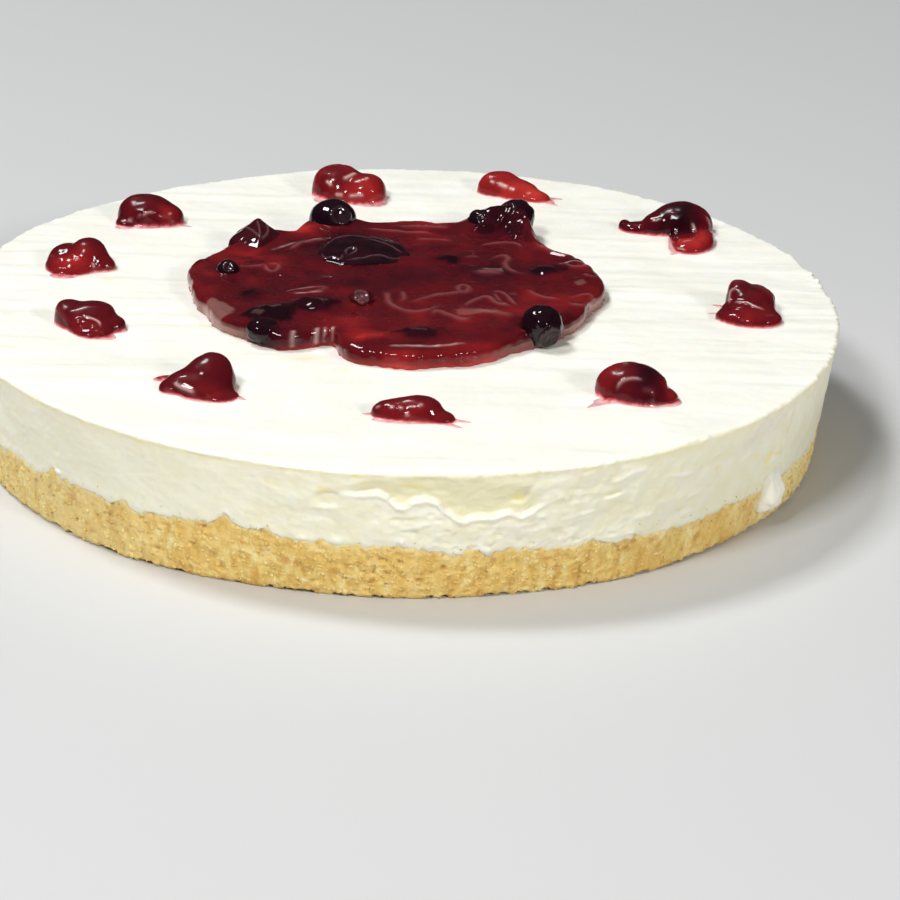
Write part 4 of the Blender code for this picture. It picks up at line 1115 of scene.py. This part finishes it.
# place: middle of the spoonful; lumps and films: east, north, reach east, reach north, turn, height over the cream
# tones: east, north, reach east, reach north, change of brightness; ridges: height, width, path, then where given the
# strength of a painted highlight along it; lengths in millimetres
spoonfuls = {
    "spoonful_01": {
        "place": (-18.13, 93.25), "power": 2.7, "shade": 0.57,
        "lumps": [(-3.2, 4.6, 8.3, 7.4, 0, 9.2), (5.0, 0.6, 6.9, 6.8, -15, 7.6), (0.0, 1.0, 7.0, 6.0, 0, 5.4)],
        "films": [(6.6, -3.0, 6.0, 4.4, -10, 0.3), (-5.0, -1.0, 6.0, 4.0, 20, 0.3)],
        "tones": [(5, -4, 6, 4, 0.22), (-4, 8, 8, 4, 0.10), (-3, -1, 5, 3, -0.06)],
        "ridges": [(0.35, 0.7, [(-6.7, -1.1), (-4.8, -2.3)], 0.6), (0.5, 0.9, [(-1.3, -1.3), (0.7, -0.1), (2.2, 1.5)], 0.5),
                   (0.4, 0.7, [(5.1, -2.8), (5.9, -2.0)], 0.5), (0.4, 0.8, [(-3.8, -3.8), (-1.3, -4.6)], 0.4),
                   (0.4, 0.7, [(0.4, -4.9), (2.7, -5.6), (4.9, -6.0)], 0.45)]},
    "spoonful_02": {
        "place": (32.29, 99.39), "power": 2.3, "shade": 0.72,
        "lumps": [(-3.6, 4.2, 7.0, 4.8, 0, 6.9), (2.0, 1.6, 7.0, 5.2, -12, 4.8), (7.2, -1.6, 5.2, 3.8, -25, 2.6)],
        "films": [(12.0, -0.4, 4.6, 1.1, -6, 0.3), (11.6, -5.2, 4.6, 1.2, -46, 0.35), (10.2, -2.8, 3.8, 2.2, -30, 0.5)],
        "tones": [(1, -2, 8, 4, 0.10), (7, -3, 4, 3, 0.16)],
        "ridges": [(0.3, 0.7, [(-6.2, 0.8), (-5.3, 0.4)], 0.5), (0.5, 0.9, [(-3.7, 0.1), (-2.5, -0.4), (-1.2, -1.3)], 0.6),
                   (0.35, 0.7, [(-0.6, -1.8), (0.9, -2.5)], 0.6), (0.3, 0.6, [(4.9, -3.3), (5.7, -3.1)], 0.3)]},
    "spoonful_03": {
        "place": (80.05, 67.17), "power": 2.4, "shade": 0.36,
        "lumps": [(3.8, 3.4, 9.4, 7.2, 0, 8.9), (-3.6, 2.0, 5.6, 4.6, 0, 5.8), (-9.6, 2.6, 5.0, 3.2, 4, 2.9),
                  (-13.4, 4.4, 2.0, 2.3, 0, 2.8), (4.6, -6.0, 4.6, 6.5, 0, 2.2), (5.2, -13.9, 5.2, 4.7, -10, 3.1),
                  (9.6, -7.5, 3.6, 8.0, 0, 3.8)],
        "films": [(1.2, -15.0, 3.0, 0.7, 12, 0.3), (0.6, -17.6, 2.4, 0.7, 24, 0.3)],
        "tones": [(3.0, -1.6, 5.0, 4.6, -0.34), (5.0, -14.5, 6.5, 5.5, 0.58), (10, -8, 3.5, 4.5, 0.28), (11.5, 1, 2, 4, 0.18)],
        "ridges": [(0.25, 0.4, [(-13.1, 1.8), (-12.0, 1.4)]), (0.25, 0.4, [(-11.0, 0.9), (-8.3, 0.0)]),
                   (0.35, 0.5, [(-5.4, -1.0), (-4.2, -1.3), (-2.8, -1.1)], 0.35), (0.35, 0.6, [(-0.4, -1.1), (2.0, -1.2)]),
                   (0.5, 0.7, [(6.6, -2.9), (6.9, -3.6)], 0.6), (0.35, 0.6, [(10.6, 0.4), (12.0, 0.2)], 0.3),
                   (0.25, 0.4, [(1.2, -16.5), (3.8, -18.2)], 0.4), (0.25, 0.5, [(2.9, -15.0), (5.8, -14.0)], 0.3)]},
    "spoonful_04": {
        "place": (98.49, -1.72), "power": 2.9, "shade": 0.48,
        "lumps": [(1.8, 2.0, 6.7, 6.2, -5, 7.8), (-2.2, 2.6, 3.8, 4.4, 0, 8.8), (0.6, -1.8, 7.8, 6.0, -12, 5.4),
                  (0.4, -5.0, 9.6, 6.0, -18, 3.6)],
        "films": [(-7.4, 6.0, 2.8, 0.9, -32, 0.4), (-9.4, 0.6, 1.8, 0.6, -10, 0.3)],
        "tones": [(0, -9, 9, 3, 0.10), (1, 2, 5, 3, -0.14), (-4, 5, 6, 2.5, 0.10)],
        "ridges": [(0.40, 0.5, [(-5.1, -2.4), (-5.0, 0.1), (-4.5, 0.4), (-3.2, -0.3)], 0.35),
                   (0.60, 0.42, [(-3.6, -3.1), (-2.0, -4.0), (-0.6, -4.4), (0.2, -5.2), (1.5, -6.3), (4.3, -6.7)], 0.75),
                   (0.25, 0.35, [(-3.4, -5.8), (-1.7, -6.3)]), (0.25, 0.35, [(-3.7, -8.7), (-2.7, -9.1)]),
                   (0.25, 0.35, [(-2.1, -10.0), (-1.3, -10.3)]), (0.25, 0.35, [(5.0, -9.0), (6.8, -8.4)]),
                   (0.35, 0.6, [(7.0, 2.2), (8.0, 1.3)]),
                   (0.7, 1.1, [(-4.6, 3.8), (-2.0, 2.6), (1.5, 2.6), (5.3, 1.2), (7.2, -0.4)])]},
    "spoonful_05": {
        "place": (63.77, -68.38), "power": 2.5, "shade": 0.50,
        "lumps": [(-0.4, 1.0, 9.8, 7.4, -8, 8.6), (3.0, -1.7, 6.0, 5.4, 0, 6.0), (6.4, -0.4, 5.8, 5.0, -30, 2.8)],
        "films": [(-10.2, -6.2, 4.4, 0.8, 56, 0.3), (-5.6, -3.8, 5.4, 2.2, 14, 0.35), (8.6, -2.2, 4.6, 3.8, -30, 0.6)],
        "tones": [(4.0, -2.0, 4.4, 6.0, -0.40), (-6.0, 0, 5, 5, 0.12), (9.6, -2, 2.6, 4, 0.22)],
        "ridges": [(0.45, 0.6, [(-4.5, -5.0), (-3.7, -4.7), (-1.9, -4.5), (0.2, -4.5), (1.9, -4.6)], 0.30),
                   (0.3, 0.8, [(2.5, -6.3), (4.0, -6.2), (5.1, -6.2)]), (0.3, 0.8, [(-2.7, 0.4), (-1.8, 0.6)]),
                   (0.4, 0.7, [(7.8, 0.7), (8.6, -1.3)])]},
    "spoonful_06": {
        "place": (4.61, -87.88), "power": 2.3, "shade": 0.52,
        "lumps": [(2.6, 0.8, 6.6, 4.6, -6, 5.8), (-2.6, 1.2, 6.4, 4.4, 0, 4.7), (-6.4, 1.8, 3.6, 3.4, 0, 3.4),
                  (7.6, -0.8, 4.6, 3.2, -15, 2.2)],
        "films": [(12.4, -1.6, 4.8, 0.9, -4, 0.3), (10.6, -4.4, 4.4, 1.0, -30, 0.3), (-10.6, 2.4, 2.8, 0.7, 6, 0.3),
                  (-3.0, -2.2, 7.0, 2.2, -6, 0.35)],
        "tones": [(-2, -3.2, 9, 2, 0.12)],
        "ridges": [(0.25, 0.6, [(-8.4, 0.0), (-7.6, -0.3)], 0.3), (0.25, 0.6, [(-4.9, -1.7), (-4.0, -1.7)], 0.4),
                   (0.25, 0.6, [(-2.6, -2.0), (-1.8, -2.2)], 0.4), (0.25, 0.7, [(2.4, -2.5), (3.2, -2.2)], 0.35),
                   (0.25, 0.6, [(-0.9, -3.1), (-0.1, -3.2)], 0.3)]},
    "spoonful_07": {
        "place": (-51.43, -70.79), "power": 2.2, "shade": 0.42,
        "lumps": [(3.6, 1.8, 6.0, 6.4, 0, 9.4), (1.2, 0.6, 6.2, 6.0, 10, 8.0), (-3.0, -0.4, 6.6, 5.0, 12, 5.0),
                  (-6.2, -1.2, 4.6, 3.4, 10, 2.8), (1.6, -2.6, 7.0, 5.8, 5, 4.6), (5.6, -4.6, 5.2, 4.6, -20, 2.0)],
        "films": [(-9.0, 6.2, 4.6, 1.6, 22, 0.9), (10.4, -5.4, 3.6, 1.0, -42, 0.35), (2.0, -6.4, 7.0, 2.6, -8, 0.35)],
        "tones": [(0, 0, 6, 3, 0.04), (3, -7.5, 8, 2.5, 0.14)],
        "ridges": [(0.75, 0.75, [(-6.5, -3.9), (-3.6, -5.8), (-0.7, -7.7)], 0.45), (0.35, 0.6, [(-9.0, -4.0), (-7.0, -4.9)]),
                   (0.3, 0.5, [(2.4, -8.1), (3.4, -8.3)]), (0.25, 1.0, [(-5.9, -3.3), (-3.3, -3.5), (0.0, -4.7)])]},
    "spoonful_08": {
        "place": (-85.59, -26.17), "power": 2.8, "shade": 0.44,
        "lumps": [(-2.4, 2.6, 7.2, 6.2, -12, 6.0), (1.6, 2.2, 6.2, 5.6, -12, 6.6), (-6.2, 4.4, 3.8, 4.2, -20, 6.2),
                  (6.4, 0.0, 4.2, 3.6, -24, 3.4), (0.6, -1.4, 7.0, 5.4, -14, 4.0), (1.4, -4.2, 5.6, 4.4, -15, 2.2)],
        "films": [(3.4, -6.0, 5.0, 2.6, -14, 0.8), (8.8, -1.6, 2.2, 1.2, 0, 0.6)],
        "tones": [(-1, 4, 6, 4, -0.04), (2, -6, 7, 2.6, 0.14)],
        "ridges": [(0.4, 0.5, [(-2.5, -4.2), (-2.2, -3.6)]),
                   (0.45, 0.5, [(-1.2, -3.0), (0.1, -3.3), (1.9, -3.8), (3.2, -4.6), (3.8, -5.7)], 0.55),
                   (0.35, 0.4, [(3.0, -6.9), (3.2, -7.4)]), (0.35, 0.4, [(4.0, -7.5), (4.6, -7.3)]),
                   (0.3, 0.5, [(1.7, -6.0), (2.2, -6.0)]), (0.3, 0.4, [(-1.6, -5.8), (-1.3, -6.0)]),
                   (0.35, 0.6, [(-9.6, 3.4), (-7.2, -0.9), (-5.3, -3.3)])]},
    "spoonful_09": {
        "place": (-92.57, 21.37), "power": 2.3, "shade": 0.50,
        "lumps": [(1.6, 3.0, 6.2, 5.8, 0, 8.3), (-4.8, 4.4, 5.8, 4.4, 14, 5.8), (-6.6, 0.8, 4.2, 4.8, 0, 3.4), (5.4, 1.6, 4.4, 3.8, -10, 4.0),
                  (-2.0, 0.0, 6.4, 5.4, 0, 4.6), (-3.6, -3.0, 5.0, 4.6, 10, 1.8)],
        "films": [(-4.6, -6.2, 4.2, 3.6, 0, 0.5), (-1.0, -3.6, 4.4, 2.4, 24, 0.4)],
        "tones": [(-3.0, -3.0, 5.5, 3.4, 0.36), (3, 4.5, 5, 3, -0.05), (-7, 5, 3, 3, -0.10)],
        "ridges": [(0.35, 0.45, [(-9.1, 1.8), (-8.2, 0.6)]), (0.35, 0.45, [(-6.3, -1.0), (-5.8, -1.8)]),
                   (0.40, 0.5, [(-1.4, -3.1), (-0.8, -2.7)], 0.5), (0.40, 0.5, [(3.2, -2.7), (3.7, -2.9)], 0.5),
                   (0.3, 0.4, [(4.8, -2.2), (5.2, -2.2)]), (0.3, 0.4, [(7.9, -1.4), (8.5, -1.1)]),
                   (0.2, 0.4, [(-6.2, -6.9), (-4.9, -7.6)])]},
    "spoonful_10": {
        "place": (-76.99, 64.60), "power": 2.6, "shade": 0.36,
        "lumps": [(-1.4, 2.4, 8.5, 6.8, 0, 7.9), (4.2, 1.0, 6.4, 5.2, -8, 5.6), (-6.6, -1.2, 3.4, 3.2, 0, 2.2)],
        "films": [(10.8, -2.6, 3.0, 0.8, -15, 0.3), (-7.8, -4.6, 2.4, 1.6, -30, 0.35), (-1.0, -3.0, 6.0, 2.4, 0, 0.3)],
        "tones": [(5.5, -2.5, 4.4, 3, 0.26), (-6, -3, 4, 3, 0.05)],
        "ridges": [(0.4, 0.5, [(-1.4, -4.0), (-0.6, -3.8), (0.2, -3.6), (1.6, -3.4)], 0.35),
                   (0.3, 0.6, [(-5.9, -3.4), (-4.7, -3.9)], 0.3), (0.3, 0.5, [(6.1, -3.1), (6.7, -2.8)], 0.3),
                   (0.3, 0.4, [(-3.1, -3.9), (-2.0, -4.0)]), (0.25, 0.6, [(3.5, -3.8), (7.1, -3.5)])]},
}


def makeSpoonful(name, look, seed):
    shape, power = spoonfulLook, look["power"]
    placeX, placeY = look["place"]
    a = turns(shape["segments"])
    body, films = look["lumps"], look["films"]
    inner = lumpReach(a, body, power)
    fringe = 0.15 * layeredNoise(np.cos(a) * inner / 1.9, np.sin(a) * inner / 1.9, seed, 302, 2)
    outer = np.maximum(inner + np.maximum(fringe, 0) + 0.04, lumpReach(a, films, 2.2, 6.0))
    ridges = []
    for rise, width, flat, *shine in look["ridges"]:
        path = smoothPath(flat, 1)
        level = lumpHeight(path[:, 0], path[:, 1], body, power)
        ridges.append((rise, width, np.column_stack([path, level]), shine[0] if shine else 0))
    rings = []
    layers = {"shade": [], "paintedSheen": [], "pale": [], "thin": [], "dull": [], "gleam": []}
    tallest = max(lump[5] for lump in body)

    def add(points, thin, paintedSheen=0, dull=0, gleam=0):
        x, y = points[:, 0], points[:, 1]
        ground = creamHeight((x + placeX) * mm, (y + placeY) * mm)
        shade = look["shade"] + 0.06 * softNoise(x / 2.6, y / 2.6, seed, 331)
        for east, north, reachEast, reachNorth, change in look["tones"]:
            shade = shade + change * np.exp(-(((x - east) / reachEast) ** 2) - ((y - north) / reachNorth) ** 2)
        rings.append(stacked((x + placeX) * mm, (y + placeY) * mm, creamTop + ground + points[:, 2] * mm))
        values = {"shade": np.clip(shade, 0.02, 1), "paintedSheen": paintedSheen, "thin": thin, "dull": dull, "gleam": gleam}
        for key, layer in layers.items():
            layer.append(np.broadcast_to(np.asarray(values.get(key, 0), float), x.shape).copy())

    for share in (0.3, 0.7, 0.98):
        add(stacked(np.cos(a) * outer * share, np.sin(a) * outer * share, -0.12), 0.7)
    for step in range(shape["filmRings"]):
        share = step / shape["filmRings"]
        reach = outer + (inner - outer) * share
        x, y = np.cos(a) * reach, np.sin(a) * reach
        z = np.hypot(shape["film"] * (1 - (1 - share) ** 4) ** 0.5, lumpHeight(x, y, films, 2.2, 6.0))
        z = z - 0.12 * (1 - share) ** 2
        thin = 0.92 - 0.60 * smoothStep(0.12, 0.8, z) + 0.2 * softNoise(x / 1.1, y / 1.1, seed, 341)
        add(stacked(x, y, z), np.clip(thin, 0.15, 1))
    for step in range(shape["rings"]):
        reach = inner * math.cos(0.5 * math.pi * step / shape["rings"])
        x, y = np.cos(a) * reach, np.sin(a) * reach
        z = np.hypot(lumpHeight(x, y, body, power), np.hypot(shape["film"], lumpHeight(x, y, films, 2.2, 6.0)))
        points = stacked(x, y, z)
        out = points - np.array([0, 0, 0.5])
        out = out / np.maximum(np.linalg.norm(out, axis=1, keepdims=True), 0.01)
        swell = shape["broad"] * layeredNoise(x / 4.5, y / 4.5, z / 4.5 + seed * 3.1, 311, 2)
        swell = swell + shape["small"] * softNoise(x / 1.5, y / 1.5, z / 1.5 + seed * 1.7, 321)
        paintedSheen, gleam = np.zeros(x.shape), np.zeros(x.shape)
        for rise, width, path, shine in ridges:
            ridge = pathOn(points, path, width)
            swell = swell + 0.8 * rise * ridge
            # painted sheen and, where given, a painted highlight along each ridge
            paintedSheen = np.maximum(paintedSheen, ridge * 0.2)
            gleam = np.maximum(gleam, shine * ridge**2.5)
        points = points + out * (swell * smoothStep(0.15, 1.4, z))[:, None]
        foot = 0.9 + 0.5 * softNoise(x / 1.6, y / 1.6, seed, 343)
        thin = 0.55 * smoothStep(foot, 0.05, z) + 0.10 * smoothStep(2.6, 0.5, z)
        dull = smoothStep(0.50, 0.85, z / tallest) * (1 - paintedSheen / 0.2) * 0.7
        add(points, thin, paintedSheen, dull, gleam)
    return ringMesh(name + "Gel", rings, layers)


for seed, (name, look) in enumerate(spoonfuls.items()):
    finishPiece(makeSpoonful(name, look, seed * 7.3 + 1), gel, [name])
print("spoonfuls made:", len(spoonfuls))

# ---- berries in the pool


def skinMaterial():
    material, tree, shader = newMaterial("berrySkin", {
        "Roughness": 0.05, "IOR": 1.45, "Specular IOR Level": 0.42,
        "Subsurface Weight": 0.1, "Subsurface Radius": (0.002, 0.0005, 0.0005), "Subsurface Scale": 1.0})
    base = mixColour(tree, attributeNode(tree, "shade"), (0.006, 0.002, 0.005), (0.15, 0.010, 0.012))
    # painted sheen round the crown of the berries and on ridges of the torn fruit
    skinWithSheen = mixColour(tree, attributeNode(tree, "paintedSheen"), base, (0.34, 0.19, 0.21))
    link(tree, skinWithSheen, shader.inputs["Base Color"])
    bumpNode(tree, shader, noiseNode(tree, 700, 3, 0.6), 0.15, 0.0002)
    return material


skin = skinMaterial()

# crown: the way its blossom end faces, and the crown's size as a share; wrinkle and dents as shares
berries = {
    "berry_back_left": {"crown": (0.38, -0.75, 0.53), "rim": 0.40, "wrinkle": 0.020, "shade": 0.02},
    "berry_back_right_large": {"crown": (-0.5, -0.6, 0.6), "rim": 0.42, "wrinkle": 0.06, "shade": 0.05},
    "berry_back_right_small": {"crown": (0.2, -0.7, 0.5), "rim": 0.45, "wrinkle": 0.07, "shade": 0.03},
    "currant_left": {"crown": (0.1, -0.70, 0.75), "rim": 0.42, "wrinkle": 0.04, "shade": 0.05},
    "berry_middle": {"crown": (0.1, -0.70, 0.70), "rim": 0.60, "wrinkle": 0.15, "shade": 0.40, "sheenGain": 5},
    "berry_front_left": {"crown": (0.5, 0.6, 0.4), "rim": 0.35, "wrinkle": 0.05, "shade": 0.04},
    "berry_front_right": {"crown": (0.45, -0.75, -0.35), "rim": 0.55, "wrinkle": 0.06, "shade": 0.03, "sheenGain": 1.6},
}
berryShape = {"segments": 84, "rings": 56}


def makeBerry(name, look, seed):
    low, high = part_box(name)
    half = np.array([(high.x - low.x) / 2, (high.y - low.y) / 2, 0.0])
    half[2] = min(half[0], half[1], (high.z - low.z) / 2 * 1.15)
    centre = np.array([(low.x + high.x) / 2, (low.y + high.y) / 2, high.z - half[2]])
    crown = np.array(Vector(look["crown"]).normalized())
    side = np.array(Vector(crown).orthogonal().normalized())
    third = np.cross(crown, side)
    rings = []
    layers = {"shade": [], "paintedSheen": []}
    a = turns(berryShape["segments"])
    for step in range(1, berryShape["rings"]):
        bend = math.pi * step / berryShape["rings"]
        # bend runs from the end away from the crown to the crown itself
        away = math.pi - bend
        spread = np.cos(a)[:, None] * side + np.sin(a)[:, None] * third
        unit = math.sin(bend) * spread - math.cos(bend) * crown
        swell = look["wrinkle"] * layeredNoise(unit[:, 0] * 2.2, unit[:, 1] * 2.2, unit[:, 2] * 2.2, int(seed), 2)
        star = 0.75 + 0.25 * np.cos(5 * a + 0.6 * np.sin(3 * a))
        ring = hill(away - look["rim"] * (0.9 + 0.12 * star), 0.11) * (0.5 + 0.5 * star)
        dent = hill(away, look["rim"] * 0.65)
        size = 1 + swell + 0.085 * ring - 0.13 * dent
        rings.append(centre + unit * size[:, None] * half)
        layers["shade"].append(np.full(len(a), look["shade"]))
        # painted sheen round the crown and in its dimple, stronger on some berries
        layers["paintedSheen"].append(np.clip((0.05 * ring + 0.07 * dent * star) * look.get("sheenGain", 1), 0, 1))
    return ringMesh(name + "Skin", rings, layers)


for seed, (name, look) in enumerate(berries.items()):
    finishPiece(makeBerry(name, look, seed + 400), skin, [name])
print("round berries made:", len(berries))

# torn cherries: corners of the fruit, whose flat sides are softened into each other; lengths as for the pool
cherries = {
    "cherry_rear_left": {
        "corners": [(-42.9, 43.4, 9.9), (-50.8, 36.0, 5.4), (-48.6, 43.0, 5.8), (-38.6, 45.2, 5.8), (-35.0, 39.6, 5.2),
                    (-42.1, 28.6, 4.6), (-41.6, 34.6, 7.9), (-46.5, 38.6, 8.0), (-39.2, 40.4, 8.3)],
        "middle": (-42.5, 39.0), "soft": 0.30, "crease": 0.12, "floor": 3.0, "shade": 0.24,
        "ridges": [(0.35, 0.5, [(-43.2, 41.6), (-42.0, 37.0), (-41.8, 32.0)]),
                   (0.3, 0.5, [(-46.8, 39.6), (-44.0, 36.6), (-41.8, 33.0)]),
                   (0.3, 0.5, [(-40.0, 40.6), (-39.4, 36.6), (-41.4, 32.4)])]},
    "cherry_middle": {
        "corners": [(-24.6, 23.4, 5.8), (-22.6, 31.5, 6.8), (-18.6, 36.4, 7.2), (-13.8, 37.4, 7.6), (-6.6, 36.2, 7.4),
                    (-1.0, 33.8, 6.8), (2.4, 25.6, 5.8), (-1.2, 19.0, 5.8), (-7.0, 18.4, 6.6), (-12.4, 16.4, 6.0),
                    (-18.0, 16.6, 5.8), (-22.4, 19.0, 5.8), (-14.0, 28.0, 8.5), (-8.0, 28.0, 8.3)],
        "middle": (-11.5, 26.5), "soft": 0.5, "crease": 0.22, "floor": 3.4, "shade": 0.06,
        "ridges": [(0.50, 0.55, [(-23.8, 24.5), (-22.4, 29.0), (-19.5, 34.0), (-15.0, 35.4), (-11.6, 33.4), (-7.4, 34.0),
                                 (-3.4, 31.0), (-1.0, 32.0), (1.4, 26.0)]),
                   (0.40, 0.5, [(-23.4, 23.8), (-22.2, 19.8), (-19.8, 21.0), (-17.6, 18.4), (-17.0, 22.0)]),
                   (0.45, 0.5, [(-11.2, 32.0), (-7.2, 31.6), (-3.0, 28.0), (0.4, 25.4)]),
                   (0.40, 0.5, [(-16.6, 18.0), (-11.8, 18.6), (-6.8, 21.4), (-2.0, 20.2), (0.6, 23.0)]),
                   (0.50, 0.6, [(-16.0, 20.6), (-13.0, 22.6), (-13.6, 25.0), (-16.4, 24.4), (-16.0, 20.6)])]},
}
cherryShape = {"segments": 168, "rings": 44}


def hullPlanes(corners, floor):
    # east, north and lift of each upward side of the solid that the corners span
    shape = bmesh.new()
    middle = np.mean(corners, axis=0)
    for corner in corners:
        shape.verts.new(corner)
        flared = middle + (np.array(corner) - middle) * 1.12
        shape.verts.new((flared[0], flared[1], floor - 1.5))
    bmesh.ops.convex_hull(shape, input=shape.verts[:])
    shape.normal_update()
    planes = []
    for face in shape.faces:
        n = face.normal
        if n.dot(face.calc_center_median() - Vector((middle[0], middle[1], floor))) < 0:
            n = -n
        if n.z > 0.04:
            point = face.calc_center_median()
            planes.append((-n.x / n.z, -n.y / n.z, point.z + (n.x * point.x + n.y * point.y) / n.z))
    shape.free()
    return planes


def makeCherry(name, look, seed):
    planes = hullPlanes(look["corners"], look["floor"])
    soft = look["soft"]

    def height(x, y):
        levels = np.array([east * x + north * y + lift for east, north, lift in planes])
        low = levels.min(axis=0)
        return low - soft * np.log(np.exp(-(levels - low) / soft).sum(axis=0)) + soft

    a = turns(cherryShape["segments"])
    middleX, middleY = look["middle"]
    reach = np.full(a.shape, 30.0)
    inside = np.zeros(a.shape)
    for _ in range(26):
        half = (reach + inside) / 2
        above = height(middleX + np.cos(a) * half, middleY + np.sin(a) * half) > look["floor"]
        inside = np.where(above, half, inside)
        reach = np.where(above, reach, half)
    rings = []
    layers = {"shade": [], "paintedSheen": []}
    for step in range(-2, cherryShape["rings"]):
        share = 0.4 - 0.25 * step if step < 0 else 1 - (step / cherryShape["rings"]) ** 1.15
        share = min(share, 0.9) if step < 0 else share
        x, y = middleX + np.cos(a) * inside * share, middleY + np.sin(a) * inside * share
        z, paintedSheen = np.full(a.shape, look["floor"] - 0.05), np.zeros(a.shape)
        if step >= 0:
            z = height(x, y)
            soften = smoothStep(0, 1.5, z - look["floor"])
            folds = layeredNoise(x / 3.6, y / 3.6, seed, 501, 2)
            z = z + look["crease"] * (0.5 - 1.6 * np.abs(folds)) * soften
            for rise, width, path in look["ridges"]:
                ridge = pathHeight(x, y, path, width)
                z = z + rise * ridge * soften
                # painted highlight lines along the ridges
                paintedSheen = np.maximum(paintedSheen, ridge**3 * 0.24)
        rings.append(stacked(x * mm, y * mm, creamTop + z * mm))
        layers["shade"].append(np.full(a.shape, look["shade"]) + 0.06 * softNoise(x / 2.5, y / 2.5, seed, 511))
        layers["paintedSheen"].append(paintedSheen)
    return ringMesh(name + "Flesh", rings, layers)


for seed, (name, look) in enumerate(cherries.items()):
    finishPiece(makeCherry(name, look, seed * 5.1), skin, [name])
print("torn cherries made:", len(cherries))
